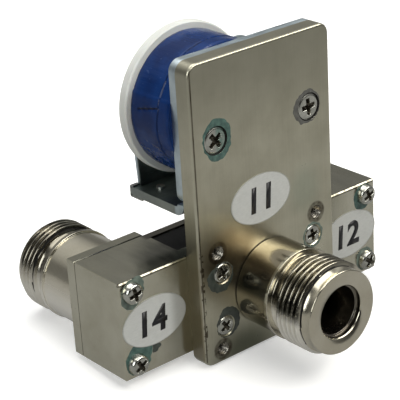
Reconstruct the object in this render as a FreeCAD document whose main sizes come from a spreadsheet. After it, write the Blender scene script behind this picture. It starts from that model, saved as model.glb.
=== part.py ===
import FreeCAD, Part
import math
import os
import re
import Sketcher

# Coaxial antenna changeover switch: a clapper relay on a nickel-plated RF body.
# Frame: millimetres, +Z up, the common jack points to -Y, its axis is the Y axis,
# and y = 0 is the front face of the mounting plate.

doc = FreeCAD.newDocument("AntennaSwitch")

# How near, in millimetres, two places count as the same when edges are picked
NEAR = 0.001

# The spring's wire has this many flat sides
WIRE_SIDES = 8

# Driving dimensions, millimetres
SIZES = [
    ("plate_width", 30.0, "front plate, side to side"),
    ("plate_rise", 41.6, "front plate, from the common axis to its top edge"),
    ("plate_drop", 11.2, "front plate, from the common axis to its bottom edge"),
    ("plate_thickness", 3.0, "front plate"),
    ("plate_corner", 2.0, "front plate and yoke, corner radius"),
    ("plate_edge_round", 0.45, "front plate, rounding of the front edges"),
    ("body_length", 57.3, "RF body, end to end"),
    ("body_depth", 11.85, "RF body, front to back"),
    ("body_rise", 8.65, "RF body, from the common axis to its top face"),
    ("body_drop", 8.85, "RF body, from the common axis to its bottom face"),
    ("body_offset", -0.4, "RF body, middle of its length from the common axis"),
    ("body_bevel", 0.2, "RF body and port flanges, broken edges"),
    ("channel_width", 5.4, "blade channel, front to back"),
    ("channel_middle", 6.3, "blade channel, middle from the body's front face"),
    ("channel_rise", 4.2, "blade channel, roof above the common axis"),
    ("channel_drop", 3.8, "blade channel, floor below the common axis"),
    ("channel_reach", 25.2, "blade channel, half its length"),
    ("pocket_reach", 14.2, "top pocket for the pusher guide, half its length"),
    ("pocket_front_ledge", 0.6, "top pocket, ledge in front of the channel"),
    ("pocket_back_ledge", 1.2, "top pocket, ledge behind the channel"),
    ("guide_gap", 0.05, "pusher guide, clearance in its pocket"),
    ("guide_sink", 0.3, "pusher guide, how far its top lies below the body's"),
    ("port_spacing", 20.8, "side ports, from the middle of the body"),
    ("flange_width", 14.3, "side port flange, along the body"),
    ("flange_thickness", 2.25, "side port flange"),
    ("slot_inner", 16.2, "rear openings under the flanges, inner end"),
    ("barrel_radius", 7.65, "jack barrel"),
    ("spigot_radius", 7.0, "jack, spigot held in its plate or flange"),
    ("spigot_gap", 0.03, "jack spigot, clearance in its plate or flange"),
    ("thread_radius", 7.9375, "jack coupling thread 5/8-24, major radius"),
    ("ridge_width", 0.8, "jack, shoulder ring before the thread relief"),
    ("relief_radius", 6.9, "jack, thread relief groove"),
    ("nose_radius", 7.2, "jack, plain nose before the thread"),
    ("nose_chamfer", 0.35, "jack, chamfer of the nose"),
    ("mouth_radius", 4.47, "jack, mouth radius"),
    ("mouth_depth", 1.2, "jack, depth of the widened mouth"),
    ("sleeve_radius", 4.15, "jack, bore that takes the plug's sleeve"),
    ("sleeve_depth", 9.0, "jack, depth of that bore from the face"),
    ("line_radius", 3.5, "coaxial line, outer conductor's bore radius"),
    ("com_barrel", 7.0, "common jack, smooth barrel in front of the plate"),
    ("com_relief", 1.6, "common jack, thread relief length"),
    ("com_thread", 5.8, "common jack, thread length"),
    ("com_nose", 1.85, "common jack, nose length"),
    ("port_barrel", 8.1, "side jacks, smooth barrel behind the flange"),
    ("port_relief", 2.0, "side jacks, thread relief length"),
    ("port_thread", 4.4, "side jacks, thread length"),
    ("port_nose", 0.9, "side jacks, nose length"),
    ("pin_radius", 1.52, "centre contacts, outer radius"),
    ("pin_socket_radius", 0.83, "centre contacts, socket bore radius"),
    ("pin_socket_depth", 4.5, "centre contacts, socket bore depth"),
    ("pin_slot_width", 0.3, "centre contacts, width of the spring slots"),
    ("pin_recess", 6.0, "centre contacts, tip behind the jack's face"),
    ("pin_tuck", 0.4, "centre contacts, end short of the channel's far wall"),
    ("bead_length", 4.0, "insulating beads, length"),
    ("bead_seat", 0.6, "insulating beads, start outside the body's face"),
    ("bead_gap", 0.02, "insulating beads, clearance to both conductors"),
    ("blade_width", 4.0, "contact blade, front to back"),
    ("blade_reach", 22.6, "contact blade, half its length"),
    ("blade_thickness", 0.3, "contact blade"),
    ("blade_lift", 2.335, "contact blade, underside above the pivot axis"),
    ("blade_corner", 0.8, "contact blade, corner radius"),
    ("blade_slit_width", 0.5, "contact blade, slit that splits each end"),
    ("blade_slit_length", 5.0, "contact blade, length of those slits"),
    ("saddle_width", 4.0, "rocker saddle, along the blade"),
    ("saddle_foot", 0.35, "rocker saddle, underside above the pivot axis"),
    ("saddle_gap", 0.06, "rocker saddle, running clearance on the common pin"),
    ("rivet_radius", 0.4, "small rivets, shank"),
    ("rivet_head_radius", 0.75, "small rivets, head"),
    ("rivet_head", 0.3, "small rivets, head height"),
    ("rivet_gap", 0.02, "small rivets, clearance in their holes"),
    ("rivet_spacing", 2.6, "rivets of the blade, between centres"),
    ("touch_gap", 0.02, "gap left where two moving pieces touch"),
    ("pusher_span", 7.0, "pushers, from the common axis"),
    ("pusher_radius", 1.0, "pushers, stem radius"),
    ("pusher_gap", 0.06, "pushers, running clearance in the guide"),
    ("spring_head_radius", 2.0, "spring pusher, collar radius"),
    ("spring_head_height", 0.8, "spring pusher, collar height"),
    ("spring_head_lift", 1.9, "spring pusher, collar above the guide at rest"),
    ("spring_spigot_radius", 1.05, "spring pusher, spigot inside the spring"),
    ("spring_spigot_length", 1.4, "spring pusher, spigot length"),
    ("spring_radius", 1.55, "return spring, radius of the wire's middle"),
    ("spring_wire", 0.36, "return spring, wire diameter"),
    ("spring_bend", 0.45, "return spring, height of the bend at each end"),
    ("spring_turns", 2, "return spring, number of open turns"),
    ("yoke_thickness", 1.5, "yoke sheet"),
    ("yoke_top_gap", 0.0, "yoke, top edge below the plate's top edge"),
    ("yoke_bend_inside", 0.5, "yoke, inside bend radius"),
    ("shelf_underside", 15.45, "yoke shelf, underside above the common axis"),
    ("shelf_gap", 0.35, "yoke shelf, rear edge short of the armature's face"),
    ("horn_reach", 16.8, "yoke horns, rear end"),
    ("horn_width", 1.4, "yoke horns, width"),
    ("horn_round", 0.5, "yoke horns, rounding of the rear end"),
    ("horn_wall", 0.4, "yoke horns, wall left outside the pivot slot"),
    ("armature_thickness", 0.8, "armature sheet"),
    ("armature_side_gap", 0.15, "armature, clearance to each horn"),
    ("armature_rise", 20.3, "armature, above its pivot"),
    ("armature_corner", 2.4, "armature, upper corner radius"),
    ("hinge_reach", 16.35, "armature pivot, distance behind the plate's front"),
    ("hinge_pin_radius", 0.4, "armature pivot ears, radius"),
    ("hinge_pin_gap", 0.05, "armature pivot ears, running clearance"),
    ("ear_end_gap", 0.1, "armature pivot ears, clearance at their ends"),
    ("tongue_width", 5.0, "armature tongue that presses the pusher"),
    ("tongue_overhang", 1.4, "armature tongue, past the pusher's middle"),
    ("bend_inside", 0.2, "armature, inside bend radius"),
    ("clip_thickness", 0.3, "pivot clips, spring sheet"),
    ("clip_start", 14.0, "pivot clips, front end under the horn"),
    ("clip_gap", 0.02, "pivot clips, clearance round the horn"),
    ("clip_side_gap", 0.2, "pivot clips, clearance of their ears to the armature's heel"),
    ("clip_top_length", 0.9, "pivot clips, length of the lip above the horn"),
    ("clip_ear_front", 11.6, "pivot clips, front end of the riveted ear"),
    ("clip_ear_inner", 10.3, "pivot clips, inner end of the riveted ear"),
    ("clip_rivet_across", 11.8, "clip rivets, from the middle plane"),
    ("clip_rivet_along", 12.9, "clip rivets, distance behind the plate's front"),
    ("coil_across", -4.15, "coil axis, sideways from the common axis"),
    ("coil_height", 30.34, "coil axis, above the common axis"),
    ("core_radius", 4.0, "iron core"),
    ("core_tail_radius", 2.5, "iron core, tail riveted in the yoke"),
    ("core_fit", 0.02, "iron core, clearance of the tail and in the bobbin"),
    ("bobbin_tube", 1.0, "bobbin, tube wall"),
    ("bobbin_back_radius", 12.84, "bobbin, rear flange radius"),
    ("bobbin_back_thickness", 1.85, "bobbin, rear flange thickness"),
    ("bobbin_front_radius", 11.2, "bobbin, front flange radius"),
    ("bobbin_front_thickness", 1.0, "bobbin, front flange thickness"),
    ("bobbin_bevel", 0.25, "bobbin, bevel of the rear flange's rim"),
    ("bobbin_pole_gap", 0.08, "bobbin, rear face short of the core's end"),
    ("winding_radius", 11.25, "copper winding, outer radius"),
    ("tape_radius", 11.75, "insulating tape over the winding, outer radius"),
    ("layer_gap", 0.05, "coil layers, clearance between them"),
    ("lug_spacing", 6.0, "coil terminals, between centres"),
    ("lug_width", 1.6, "coil terminals, width"),
    ("lug_thickness", 0.5, "coil terminals, sheet thickness"),
    ("lug_reach", 5.0, "coil terminals, length outside the bobbin"),
    ("lug_root", 1.6, "coil terminals, length inside the bobbin's boss"),
    ("lug_hole_radius", 0.45, "coil terminals, wire hole radius"),
    ("boss_reach", 1.2, "bobbin, terminal boss past the flange"),
    ("boss_root", 6.0, "bobbin, terminal boss inside the flange's rim"),
    ("boss_margin", 1.6, "bobbin, terminal boss past each lug's middle"),
    ("panel_hole_across", 11.0, "panel holes, half their spacing across"),
    ("panel_hole_up", 8.8, "panel holes, half their spacing in height"),
    ("panel_hole_radius", 1.25, "panel holes, M3 tapping radius"),
    ("panel_notch_radius", 1.5, "relief in the RF body behind the panel holes"),
    ("panel_notch_depth", 3.0, "depth of that relief"),
    ("com_screw_across", 10.1, "body screws, half their spacing across"),
    ("com_screw_up", 4.85, "body screws, half their spacing in height"),
    ("com_screw_radius", 0.95, "body screws, shank radius"),
    ("com_screw_head", 1.9, "body screws, countersunk head radius"),
    ("com_screw_bite", 2.5, "body screws, length inside the RF body"),
    ("yoke_screw_across", 10.1, "yoke screws, half their spacing"),
    ("yoke_screw_height", 28.1, "yoke screws, above the common axis"),
    ("yoke_screw_radius", 1.2, "yoke screws, shank radius"),
    ("yoke_screw_head", 2.45, "yoke screws, countersunk head radius"),
    ("port_screw_across", 26.2, "flange screws, from the middle of the body"),
    ("port_screw_up", 6.45, "flange screws, above and below the common axis"),
    ("port_screw_radius", 0.95, "flange screws, shank radius"),
    ("port_screw_head", 1.9, "flange screws, pan head radius"),
    ("port_screw_head_height", 1.3, "flange screws, pan head height"),
    ("port_screw_head_bevel", 0.45, "flange screws, bevel of the head"),
    ("tap_gap", 0.2, "screws, space past their ends in blind holes"),
    ("flange_wall", 0.4, "side port flange, wall left behind its screw holes"),
    ("screw_gap", 0.05, "screws, clearance in threaded holes"),
    ("screw_free_gap", 0.15, "screws, clearance in plain holes"),
    ("label_half_width", 6.5, "oval labels, half their width"),
    ("label_half_height", 4.3, "oval labels, half their height"),
    ("label_thickness", 0.1, "oval labels"),
    ("com_label_across", -1.25, "common label, middle"),
    ("com_label_height", 15.4, "common label, middle above the common axis"),
    ("port_label_across", 22.1, "port labels, from the middle of the body"),
]

sheet = doc.addObject("Spreadsheet::Sheet", "Sizes")
for row, (alias, number, note) in enumerate(SIZES, start=1):
    sheet.set(f"A{row}", note)
    sheet.set(f"B{row}", str(number))
    sheet.setAlias(f"B{row}", alias)

# Places worked out from the driving dimensions
PLACES = {
    "body_front": "plate_thickness",
    "body_back": "body_front + body_depth",
    "body_left": "body_offset - body_length / 2",
    "body_right": "body_offset + body_length / 2",
    "channel_y": "body_front + channel_middle",
    "channel_front": "channel_y - channel_width / 2",
    "channel_back": "channel_y + channel_width / 2",
    "no_port_x": "body_offset - port_spacing",
    "nc_port_x": "body_offset + port_spacing",
    "flange_back": "body_back + flange_thickness",
    "guide_top": "body_rise - guide_sink",
    "com_reach": "com_barrel + ridge_width + com_relief + com_thread + com_nose",
    "port_reach": "port_barrel + ridge_width + port_relief + port_thread + port_nose",
    "blade_top": "blade_lift + blade_thickness",
    "contact_drop": "blade_lift - pin_radius - touch_gap",
    "rest_tilt": "asin(contact_drop / nc_port_x)",
    "throw_tilt": "asin(contact_drop / (0 - no_port_x))",
    "pusher_stroke": "tip_clear * (1 / cos(rest_tilt) - 1 / cos(throw_tilt))"
                     " + pusher_span * (tan(rest_tilt) + tan(throw_tilt))",
    "tip_clear": "blade_top + pusher_radius + touch_gap",
    "press_tip": "(tip_clear + pusher_span * sin(rest_tilt)) / cos(rest_tilt)",
    "spring_tip": "(tip_clear - pusher_span * sin(rest_tilt)) / cos(rest_tilt)",
    "yoke_back": "body_front + yoke_thickness",
    "yoke_top": "plate_rise - yoke_top_gap",
    "yoke_half": "plate_width / 2",
    "shelf_top": "shelf_underside + yoke_thickness",
    "bend_outside": "yoke_bend_inside + yoke_thickness",
    "horn_inner": "yoke_half - horn_width",
    "hinge_z": "shelf_underside + yoke_thickness / 2",
    "armature_half": "horn_inner - armature_side_gap",
    "half_sheet": "armature_thickness / 2",
    "shelf_back": "hinge_reach - half_sheet - shelf_gap",
    "tongue_top": "shelf_underside - touch_gap",
    "tongue_under": "tongue_top - armature_thickness",
    "tongue_tip": "channel_y - tongue_overhang",
    "press_arm": "hinge_reach - channel_y",
    "press_drop": "hinge_z - tongue_under + pusher_radius + touch_gap",
    "press_low": "press_drop + pusher_stroke",
    "armature_throw": "acos(press_drop / sqrt(press_low * press_low + press_arm * press_arm))"
                      " - atan(press_arm / press_low)",
    "pole_face": "hinge_reach - half_sheet - touch_gap",
    "coil_front": "yoke_back + layer_gap",
    "bobbin_back": "pole_face - bobbin_pole_gap",
    "bobbin_flange_front": "bobbin_back - bobbin_back_thickness",
    "tube_inner": "core_radius + core_fit",
    "tube_outer": "tube_inner + bobbin_tube",
    "collar_under": "guide_top + spring_head_lift",
    "collar_top": "collar_under + spring_head_height",
    "clip_ear_back": "clip_start + 2 * clip_thickness",
    "heel": "clip_ear_back + clip_side_gap",
    "clip_under": "shelf_underside - clip_gap - clip_thickness",
    "clip_back": "horn_reach + clip_gap + clip_thickness",
    "clip_top": "shelf_top + clip_gap + clip_thickness",
}

NAMES = {alias for alias, number, note in SIZES}


def sized(text):
    """The expression with every named size or place written out in full."""
    def replace(found):
        word = found.group(0)
        if word in PLACES:
            return "(" + sized(PLACES[word]) + ")"
        if word in NAMES:
            return "Sizes." + word
        return word
    return re.sub(r"[a-z][a-z_]*", replace, str(text))


def bind(thing, path, text):
    thing.setExpression(path, sized(text))


def place(thing, x=0, y=0, z=0):
    for letter, text in (("x", x), ("y", y), ("z", z)):
        bind(thing, "Placement.Base." + letter, text)
    return thing


def turn(thing, axis, text):
    """Turn an object about an axis through its own placement's base."""
    thing.Placement = FreeCAD.Placement(thing.Placement.Base, FreeCAD.Rotation(axis, 1))
    bind(thing, "Placement.Rotation.Angle", text)
    return thing


X_AXIS = FreeCAD.Vector(1, 0, 0)
Y_AXIS = FreeCAD.Vector(0, 1, 0)
Z_AXIS = FreeCAD.Vector(0, 0, 1)
ALONG = {
    "+X": FreeCAD.Rotation(Y_AXIS, 90),
    "+Y": FreeCAD.Rotation(X_AXIS, -90),
    "-Y": FreeCAD.Rotation(X_AXIS, 90),
    "+Z": FreeCAD.Rotation(),
}


# Solid pieces and booleans

def block(name, x, y, z):
    """A box between two values on each axis."""
    thing = doc.addObject("Part::Box", name)
    for size, (low, high) in (("Length", x), ("Width", y), ("Height", z)):
        bind(thing, size, f"({high}) - ({low})")
    return place(thing, x[0], y[0], z[0])


def rod(name, along, start, radius, length):
    """A cylinder from a start point along an axis."""
    thing = doc.addObject("Part::Cylinder", name)
    thing.Placement.Rotation = ALONG[along]
    bind(thing, "Radius", radius)
    bind(thing, "Height", length)
    return place(thing, *start)


def taper(name, along, start, first, second, length):
    """A cone between two radii."""
    thing = doc.addObject("Part::Cone", name)
    thing.Placement.Rotation = ALONG[along]
    bind(thing, "Radius1", first)
    bind(thing, "Radius2", second)
    bind(thing, "Height", length)
    return place(thing, *start)


def ball(name, centre, radius):
    thing = doc.addObject("Part::Sphere", name)
    bind(thing, "Radius", radius)
    return place(thing, *centre)


def joined(name, pieces):
    thing = doc.addObject("Part::MultiFuse", name)
    thing.Shapes = pieces
    return thing


def group(name, pieces):
    """Separate solids under one name."""
    thing = doc.addObject("Part::Compound", name)
    thing.Links = pieces
    return thing


def cut(name, base, tools):
    thing = doc.addObject("Part::Cut", name)
    thing.Base = base
    thing.Tool = tools[0] if len(tools) == 1 else joined(name + "_tools", tools)
    return thing


def edge_numbers(shape, wanted):
    return [n for n, edge in enumerate(shape.Edges, start=1) if wanted(edge)]


def runs_along(edge, axis):
    if not isinstance(edge.Curve, Part.Line):
        return False
    return abs(edge.Curve.Direction.dot(axis)) > 1 - NEAR


def rounded(name, base, radius, wanted, kind="Fillet"):
    """Round or bevel the edges of a solid that the test picks."""
    doc.recompute()
    size = float(sheet.get(radius))
    thing = doc.addObject("Part::" + kind, name)
    thing.Base = base
    thing.Edges = [(n, size, size) for n in edge_numbers(base.Shape, wanted)]
    return thing


# Sketched bodies

def new_body(name):
    return doc.addObject("PartDesign::Body", name)


def new_sketch(body, name, role, height="0"):
    sketch = body.newObject("Sketcher::SketchObject", name)
    for plane in body.Origin.OriginFeatures:
        if plane.Role == role:
            sketch.AttachmentSupport = [(plane, "")]
    sketch.MapMode = "FlatFace"
    bind(sketch, "AttachmentOffset.Base.z", height)
    return sketch


def fix_point(sketch, shape_number, point_number, across, up):
    """Hold a sketch point at two expressions from the sketch's origin."""
    for kind, text in (("DistanceX", across), ("DistanceY", up)):
        rule = Sketcher.Constraint(kind, -1, 1, shape_number, point_number, 1.0)
        number = sketch.addConstraint(rule)
        bind(sketch, f"Constraints[{number}]", text)


def outline(sketch, corners):
    """A closed line through corners that are given as expressions."""
    start = sketch.GeometryCount
    count = len(corners)
    spots = [FreeCAD.Vector(math.cos(2 * math.pi * n / count), math.sin(2 * math.pi * n / count), 0)
             for n in range(count)]
    for n in range(count):
        sketch.addGeometry(Part.LineSegment(spots[n], spots[(n + 1) % count]), False)
    for n in range(count):
        rule = Sketcher.Constraint("Coincident", start + n, 2, start + (n + 1) % count, 1)
        sketch.addConstraint(rule)
    for n, (across, up) in enumerate(corners):
        fix_point(sketch, start + n, 1, across, up)


def ring(sketch, across, up, radius):
    number = sketch.GeometryCount
    sketch.addGeometry(Part.Circle(FreeCAD.Vector(1, 1, 0), Z_AXIS, 1), False)
    fix_point(sketch, number, 3, across, up)
    rule = sketch.addConstraint(Sketcher.Constraint("Radius", number, 1.0))
    bind(sketch, f"Constraints[{rule}]", radius)


def rectangle(sketch, left, right, low, high):
    outline(sketch, [(left, low), (right, low), (right, high), (left, high)])


def pad(body, name, sketch, length, reverse=False, middle=False):
    thing = body.newObject("PartDesign::Pad", name)
    thing.Profile = sketch
    bind(thing, "Length", length)
    thing.Reversed = reverse
    if middle:
        thing.SideType = "Symmetric"
    return thing


def pocket(body, name, sketch):
    """Cut a sketch through the whole body, both ways."""
    thing = body.newObject("PartDesign::Pocket", name)
    thing.Profile = sketch
    thing.Type = "ThroughAll"
    thing.SideType = "Symmetric"
    return thing


def spun(body, name, sketch):
    """Revolve a half section about the sketch's upright axis."""
    thing = body.newObject("PartDesign::Revolution", name)
    thing.Profile = sketch
    thing.ReferenceAxis = (sketch, ["V_Axis"])
    thing.Angle = 360
    return thing


def soften(body, name, base, radius, wanted, kind="Fillet"):
    doc.recompute()
    thing = body.newObject("PartDesign::" + kind, name)
    thing.Base = (base, [f"Edge{n}" for n in edge_numbers(base.Shape, wanted)])
    bind(thing, "Radius" if kind == "Fillet" else "Size", radius)
    return thing


# Sub-parts

SUBPARTS = []


def finish(thing, label):
    thing.Label = label
    SUBPARTS.append(thing)
    return thing


def four(across, up):
    return [(f"{a} {across}", f"{u} {up}") for a in ("0 -", "0 +") for u in ("0 -", "0 +")]


PANEL_HOLES = four("panel_hole_across", "panel_hole_up")
BODY_SCREWS = four("com_screw_across", "com_screw_up")
YOKE_SCREWS = [("0 - yoke_screw_across", "yoke_screw_height"),
               ("yoke_screw_across", "yoke_screw_height")]
FLANGE_SCREWS = {side: [(f"body_offset {side} port_screw_across", f"0 {up} port_screw_up")
                        for up in ("+", "-")] for side in ("-", "+")}


def make_front_plate():
    body = new_body("plate_blank")
    sheet_outline = new_sketch(body, "plate_outline", "XZ_Plane")
    rectangle(sheet_outline, "0 - plate_width / 2", "plate_width / 2",
              "0 - plate_drop", "plate_rise")
    slab = pad(body, "plate_slab", sheet_outline, "plate_thickness", reverse=True)
    corners = soften(body, "plate_corners", slab, "plate_corner",
                     lambda edge: runs_along(edge, Y_AXIS))
    front = soften(body, "plate_front_edge", corners, "plate_edge_round",
                   lambda edge: abs(edge.BoundBox.YMin) < NEAR and edge.BoundBox.YLength < NEAR)
    holes = new_sketch(body, "plate_holes", "XZ_Plane")
    ring(holes, "0", "0", "spigot_radius + spigot_gap")
    for across, up in PANEL_HOLES:
        ring(holes, across, up, "panel_hole_radius")
    for across, up in BODY_SCREWS:
        ring(holes, across, up, "com_screw_radius + screw_free_gap")
    for across, up in YOKE_SCREWS:
        ring(holes, across, up, "yoke_screw_radius + screw_free_gap")
    body.Tip = front
    drilled = pocket(body, "plate_drilled", holes)
    body.Tip = drilled
    sinks = []
    for n, (across, up) in enumerate(BODY_SCREWS):
        sinks.append(taper(f"body_sink_{n}", "+Y", (across, "0", up),
                           "com_screw_head + screw_gap", "0", "com_screw_head + screw_gap"))
    for n, (across, up) in enumerate(YOKE_SCREWS):
        sinks.append(taper(f"yoke_sink_{n}", "+Y", (across, "0", up),
                           "yoke_screw_head + screw_gap", "0", "yoke_screw_head + screw_gap"))
    return finish(cut("plate_countersunk", body, sinks), "front_plate")


def make_switch_body():
    stock = block("body_stock", ("body_left", "body_right"), ("body_front", "body_back"),
                  ("0 - body_drop", "body_rise"))
    eased = rounded("body_eased", stock, "body_bevel", lambda edge: True, "Chamfer")
    tools = [
        block("body_channel", ("body_offset - channel_reach", "body_offset + channel_reach"),
              ("channel_front", "channel_back"), ("0 - channel_drop", "channel_rise")),
        block("body_pocket", ("body_offset - pocket_reach", "body_offset + pocket_reach"),
              ("channel_front - pocket_front_ledge", "channel_back + pocket_back_ledge"),
              ("channel_rise", "body_rise + 1")),
        rod("body_line_bore", "+Y", ("0", "body_front - 1", "0"), "line_radius",
            "channel_y - body_front + 1"),
    ]
    for side, outer, inner in (("left", "0 - channel_reach", "0 - slot_inner"),
                               ("right", "slot_inner", "channel_reach")):
        tools.append(block("body_slot_" + side,
                           (f"body_offset + {outer}", f"body_offset + {inner}"),
                           ("channel_y", "body_back + 1"), ("0 - channel_drop", "channel_rise")))
    for n, (across, up) in enumerate(BODY_SCREWS):
        tools.append(rod(f"body_tap_{n}", "+Y", (across, "body_front - 1", up),
                         "com_screw_radius + screw_gap", "com_screw_bite + tap_gap + 1"))
    for n, (across, up) in enumerate(PANEL_HOLES):
        tools.append(rod(f"body_notch_{n}", "+Y", (across, "body_front - 1", up),
                         "panel_notch_radius", "panel_notch_depth + 1"))
    for n, (across, up) in enumerate(FLANGE_SCREWS["-"] + FLANGE_SCREWS["+"]):
        tools.append(rod(f"body_through_{n}", "+Y", (across, "body_front - 1", up),
                         "port_screw_radius + screw_free_gap", "body_depth + 2"))
    return finish(cut("body_machined", eased, tools), "switch_body")


def make_pusher_guide():
    slab = block("guide_slab",
                 ("body_offset - pocket_reach + guide_gap", "body_offset + pocket_reach - guide_gap"),
                 ("channel_front - pocket_front_ledge + guide_gap",
                  "channel_back + pocket_back_ledge - guide_gap"),
                 ("channel_rise", "guide_top"))
    bores = [rod("guide_bore_" + side, "+Z", (f"0 {sign} pusher_span", "channel_y", "0"),
                 "pusher_radius + pusher_gap", "body_rise")
             for side, sign in (("left", "-"), ("right", "+"))]
    return finish(cut("guide_bored", slab, bores), "pusher_guide")


def make_flange(label, side):
    outer = ("body_left", "body_left + flange_width")
    port = "no_port_x"
    if side == "+":
        outer = ("body_right - flange_width", "body_right")
        port = "nc_port_x"
    slab = block(label + "_slab", outer, ("body_back", "flange_back"),
                 ("0 - body_drop", "body_rise"))
    eased = rounded(label + "_eased", slab, "body_bevel", lambda edge: True, "Chamfer")
    tools = [rod(label + "_bore", "+Y", (port, "body_back - 1", "0"),
                 "spigot_radius + spigot_gap", "flange_thickness + 2")]
    for n, (across, up) in enumerate(FLANGE_SCREWS[side]):
        tools.append(rod(f"{label}_tap_{n}", "+Y", (across, "body_back - 1", up),
                         "port_screw_radius + screw_gap", "flange_thickness - flange_wall + 1"))
    return finish(cut(label + "_bored", eased, tools), label)


def make_shell(label, kind, panel, x, seat, facing):
    """Jack shell: a turned barrel whose local +Y points out of the switch."""
    barrel = f"({panel} + {kind}_barrel)"
    groove = f"({barrel} + ridge_width)"
    thread = f"({groove} + {kind}_relief)"
    nose = f"({thread} + {kind}_thread)"
    face = f"({nose} + {kind}_nose)"
    body = new_body(label + "_turned")
    half = new_sketch(body, label + "_section", "XY_Plane")
    outline(half, [
        ("line_radius", "0"),
        ("spigot_radius", "0"),
        ("spigot_radius", panel),
        ("barrel_radius", panel),
        ("barrel_radius", barrel),
        ("thread_radius", barrel),
        ("thread_radius", groove),
        ("relief_radius", groove),
        ("relief_radius", thread),
        ("thread_radius", thread),
        ("thread_radius", nose),
        ("nose_radius", nose),
        ("nose_radius", f"{face} - nose_chamfer"),
        ("nose_radius - nose_chamfer", face),
        ("mouth_radius + nose_chamfer", face),
        ("mouth_radius", f"{face} - nose_chamfer"),
        ("mouth_radius", f"{face} - mouth_depth"),
        ("sleeve_radius", f"{face} - mouth_depth"),
        ("sleeve_radius", f"{face} - sleeve_depth"),
        ("line_radius", f"{face} - sleeve_depth"),
    ])
    spun(body, label + "_revolved", half)
    body.Placement.Rotation = facing
    return finish(place(body, x, seat, "0"), label)


def make_bead(label, x, seat, outward, along):
    """Insulating bead between the two conductors of a jack."""
    start = (x, f"{seat} {outward} bead_seat", "0")
    disc = rod(label + "_disc", along, start, "line_radius - bead_gap", "bead_length")
    bore = rod(label + "_bore", along, start, "pin_radius + bead_gap", "bead_length")
    return finish(cut(label + "_bored", disc, [bore]), label)


def make_contact(label, x, along, inner, tip):
    """Centre contact: a pin with a slotted socket at its outer end."""
    sign = "+" if along == "+Y" else "-"
    shaft = rod(label + "_shaft", along, (x, inner, "0"), "pin_radius",
                f"0 {sign} (({tip}) - ({inner}))")
    mouth = f"({tip}) {'-' if sign == '+' else '+'} pin_socket_depth"
    span = (mouth, f"({tip}) {sign} 1") if sign == "+" else (f"({tip}) {sign} 1", mouth)
    tools = [
        rod(label + "_socket", along, (x, mouth, "0"), "pin_socket_radius", "pin_socket_depth + 1"),
        block(label + "_slot_up", (f"{x} - pin_slot_width / 2", f"{x} + pin_slot_width / 2"),
              span, ("0 - 2 * pin_radius", "2 * pin_radius")),
        block(label + "_slot_across", (f"{x} - 2 * pin_radius", f"{x} + 2 * pin_radius"),
              span, ("0 - pin_slot_width / 2", "pin_slot_width / 2")),
    ]
    return finish(cut(label + "_slotted", shaft, tools), label)


def make_blade():
    body = new_body("blade_body")
    flat = new_sketch(body, "blade_outline", "XY_Plane", "blade_lift")
    rectangle(flat, "0 - blade_reach", "blade_reach",
              "channel_y - blade_width / 2", "channel_y + blade_width / 2")
    strip = pad(body, "blade_strip", flat, "blade_thickness")
    corners = soften(body, "blade_corners", strip, "blade_corner",
                     lambda edge: runs_along(edge, Z_AXIS))
    body.Tip = corners
    slits = new_sketch(body, "blade_slits", "XY_Plane")
    for inner, outer in (("0 - blade_reach + blade_slit_length", "0 - blade_reach - 1"),
                         ("blade_reach - blade_slit_length", "blade_reach + 1")):
        rectangle(slits, inner, outer, "channel_y - blade_slit_width / 2",
                  "channel_y + blade_slit_width / 2")
    for sign in ("-", "+"):
        ring(slits, "0", f"channel_y {sign} rivet_spacing / 2", "rivet_radius + rivet_gap")
    body.Tip = pocket(body, "blade_split", slits)
    turn(body, Y_AXIS, "rest_tilt")
    return finish(body, "contact_blade")


def make_saddle():
    lump = block("saddle_lump", ("0 - saddle_width / 2", "saddle_width / 2"),
                 ("channel_y - blade_width / 2", "channel_y + blade_width / 2"),
                 ("saddle_foot", "blade_lift"))
    tools = [rod("saddle_groove", "+Y", ("0", "channel_front", "0"), "pin_radius + saddle_gap",
                 "channel_width")]
    for side, sign in (("front", "-"), ("back", "+")):
        tools.append(rod("saddle_hole_" + side, "+Z",
                         ("0", f"channel_y {sign} rivet_spacing / 2", "0"),
                         "rivet_radius + rivet_gap", "blade_top"))
    saddle = cut("saddle_grooved", lump, tools)
    turn(saddle, Y_AXIS, "rest_tilt")
    return finish(saddle, "blade_saddle")


def make_blade_rivets():
    rivets = []
    for side, sign in (("front", "-"), ("back", "+")):
        spot = f"channel_y {sign} rivet_spacing / 2"
        foot = "pin_radius + saddle_gap + touch_gap"
        shank = rod(f"blade_rivet_{side}_shank", "+Z", ("0", spot, foot), "rivet_radius",
                    f"blade_top - ({foot})")
        head = rod(f"blade_rivet_{side}_head", "+Z", ("0", spot, "blade_top"),
                   "rivet_head_radius", "rivet_head")
        rivets.append(joined(f"blade_rivet_{side}", [shank, head]))
    pair = group("blade_rivet_pair", rivets)
    turn(pair, Y_AXIS, "rest_tilt")
    return finish(pair, "blade_rivets")


def make_press_pusher():
    top = "tongue_under - touch_gap - pusher_radius"
    stem = rod("press_stem", "+Z", ("0 - pusher_span", "channel_y", "press_tip"),
               "pusher_radius", f"{top} - press_tip")
    ends = [ball("press_foot", ("0 - pusher_span", "channel_y", "press_tip"), "pusher_radius"),
            ball("press_crown", ("0 - pusher_span", "channel_y", top), "pusher_radius")]
    return finish(joined("press_whole", [stem] + ends), "press_pusher")


def make_spring_pusher():
    spot = ("pusher_span", "channel_y")
    pieces = [
        ball("sprung_foot", spot + ("spring_tip",), "pusher_radius"),
        rod("sprung_stem", "+Z", spot + ("spring_tip",), "pusher_radius",
            "collar_under - spring_tip"),
        rod("sprung_collar", "+Z", spot + ("collar_under",), "spring_head_radius",
            "spring_head_height"),
        rod("sprung_spigot", "+Z", spot + ("collar_top",), "spring_spigot_radius",
            "spring_spigot_length"),
    ]
    return finish(joined("sprung_whole", pieces), "spring_pusher")


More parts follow.
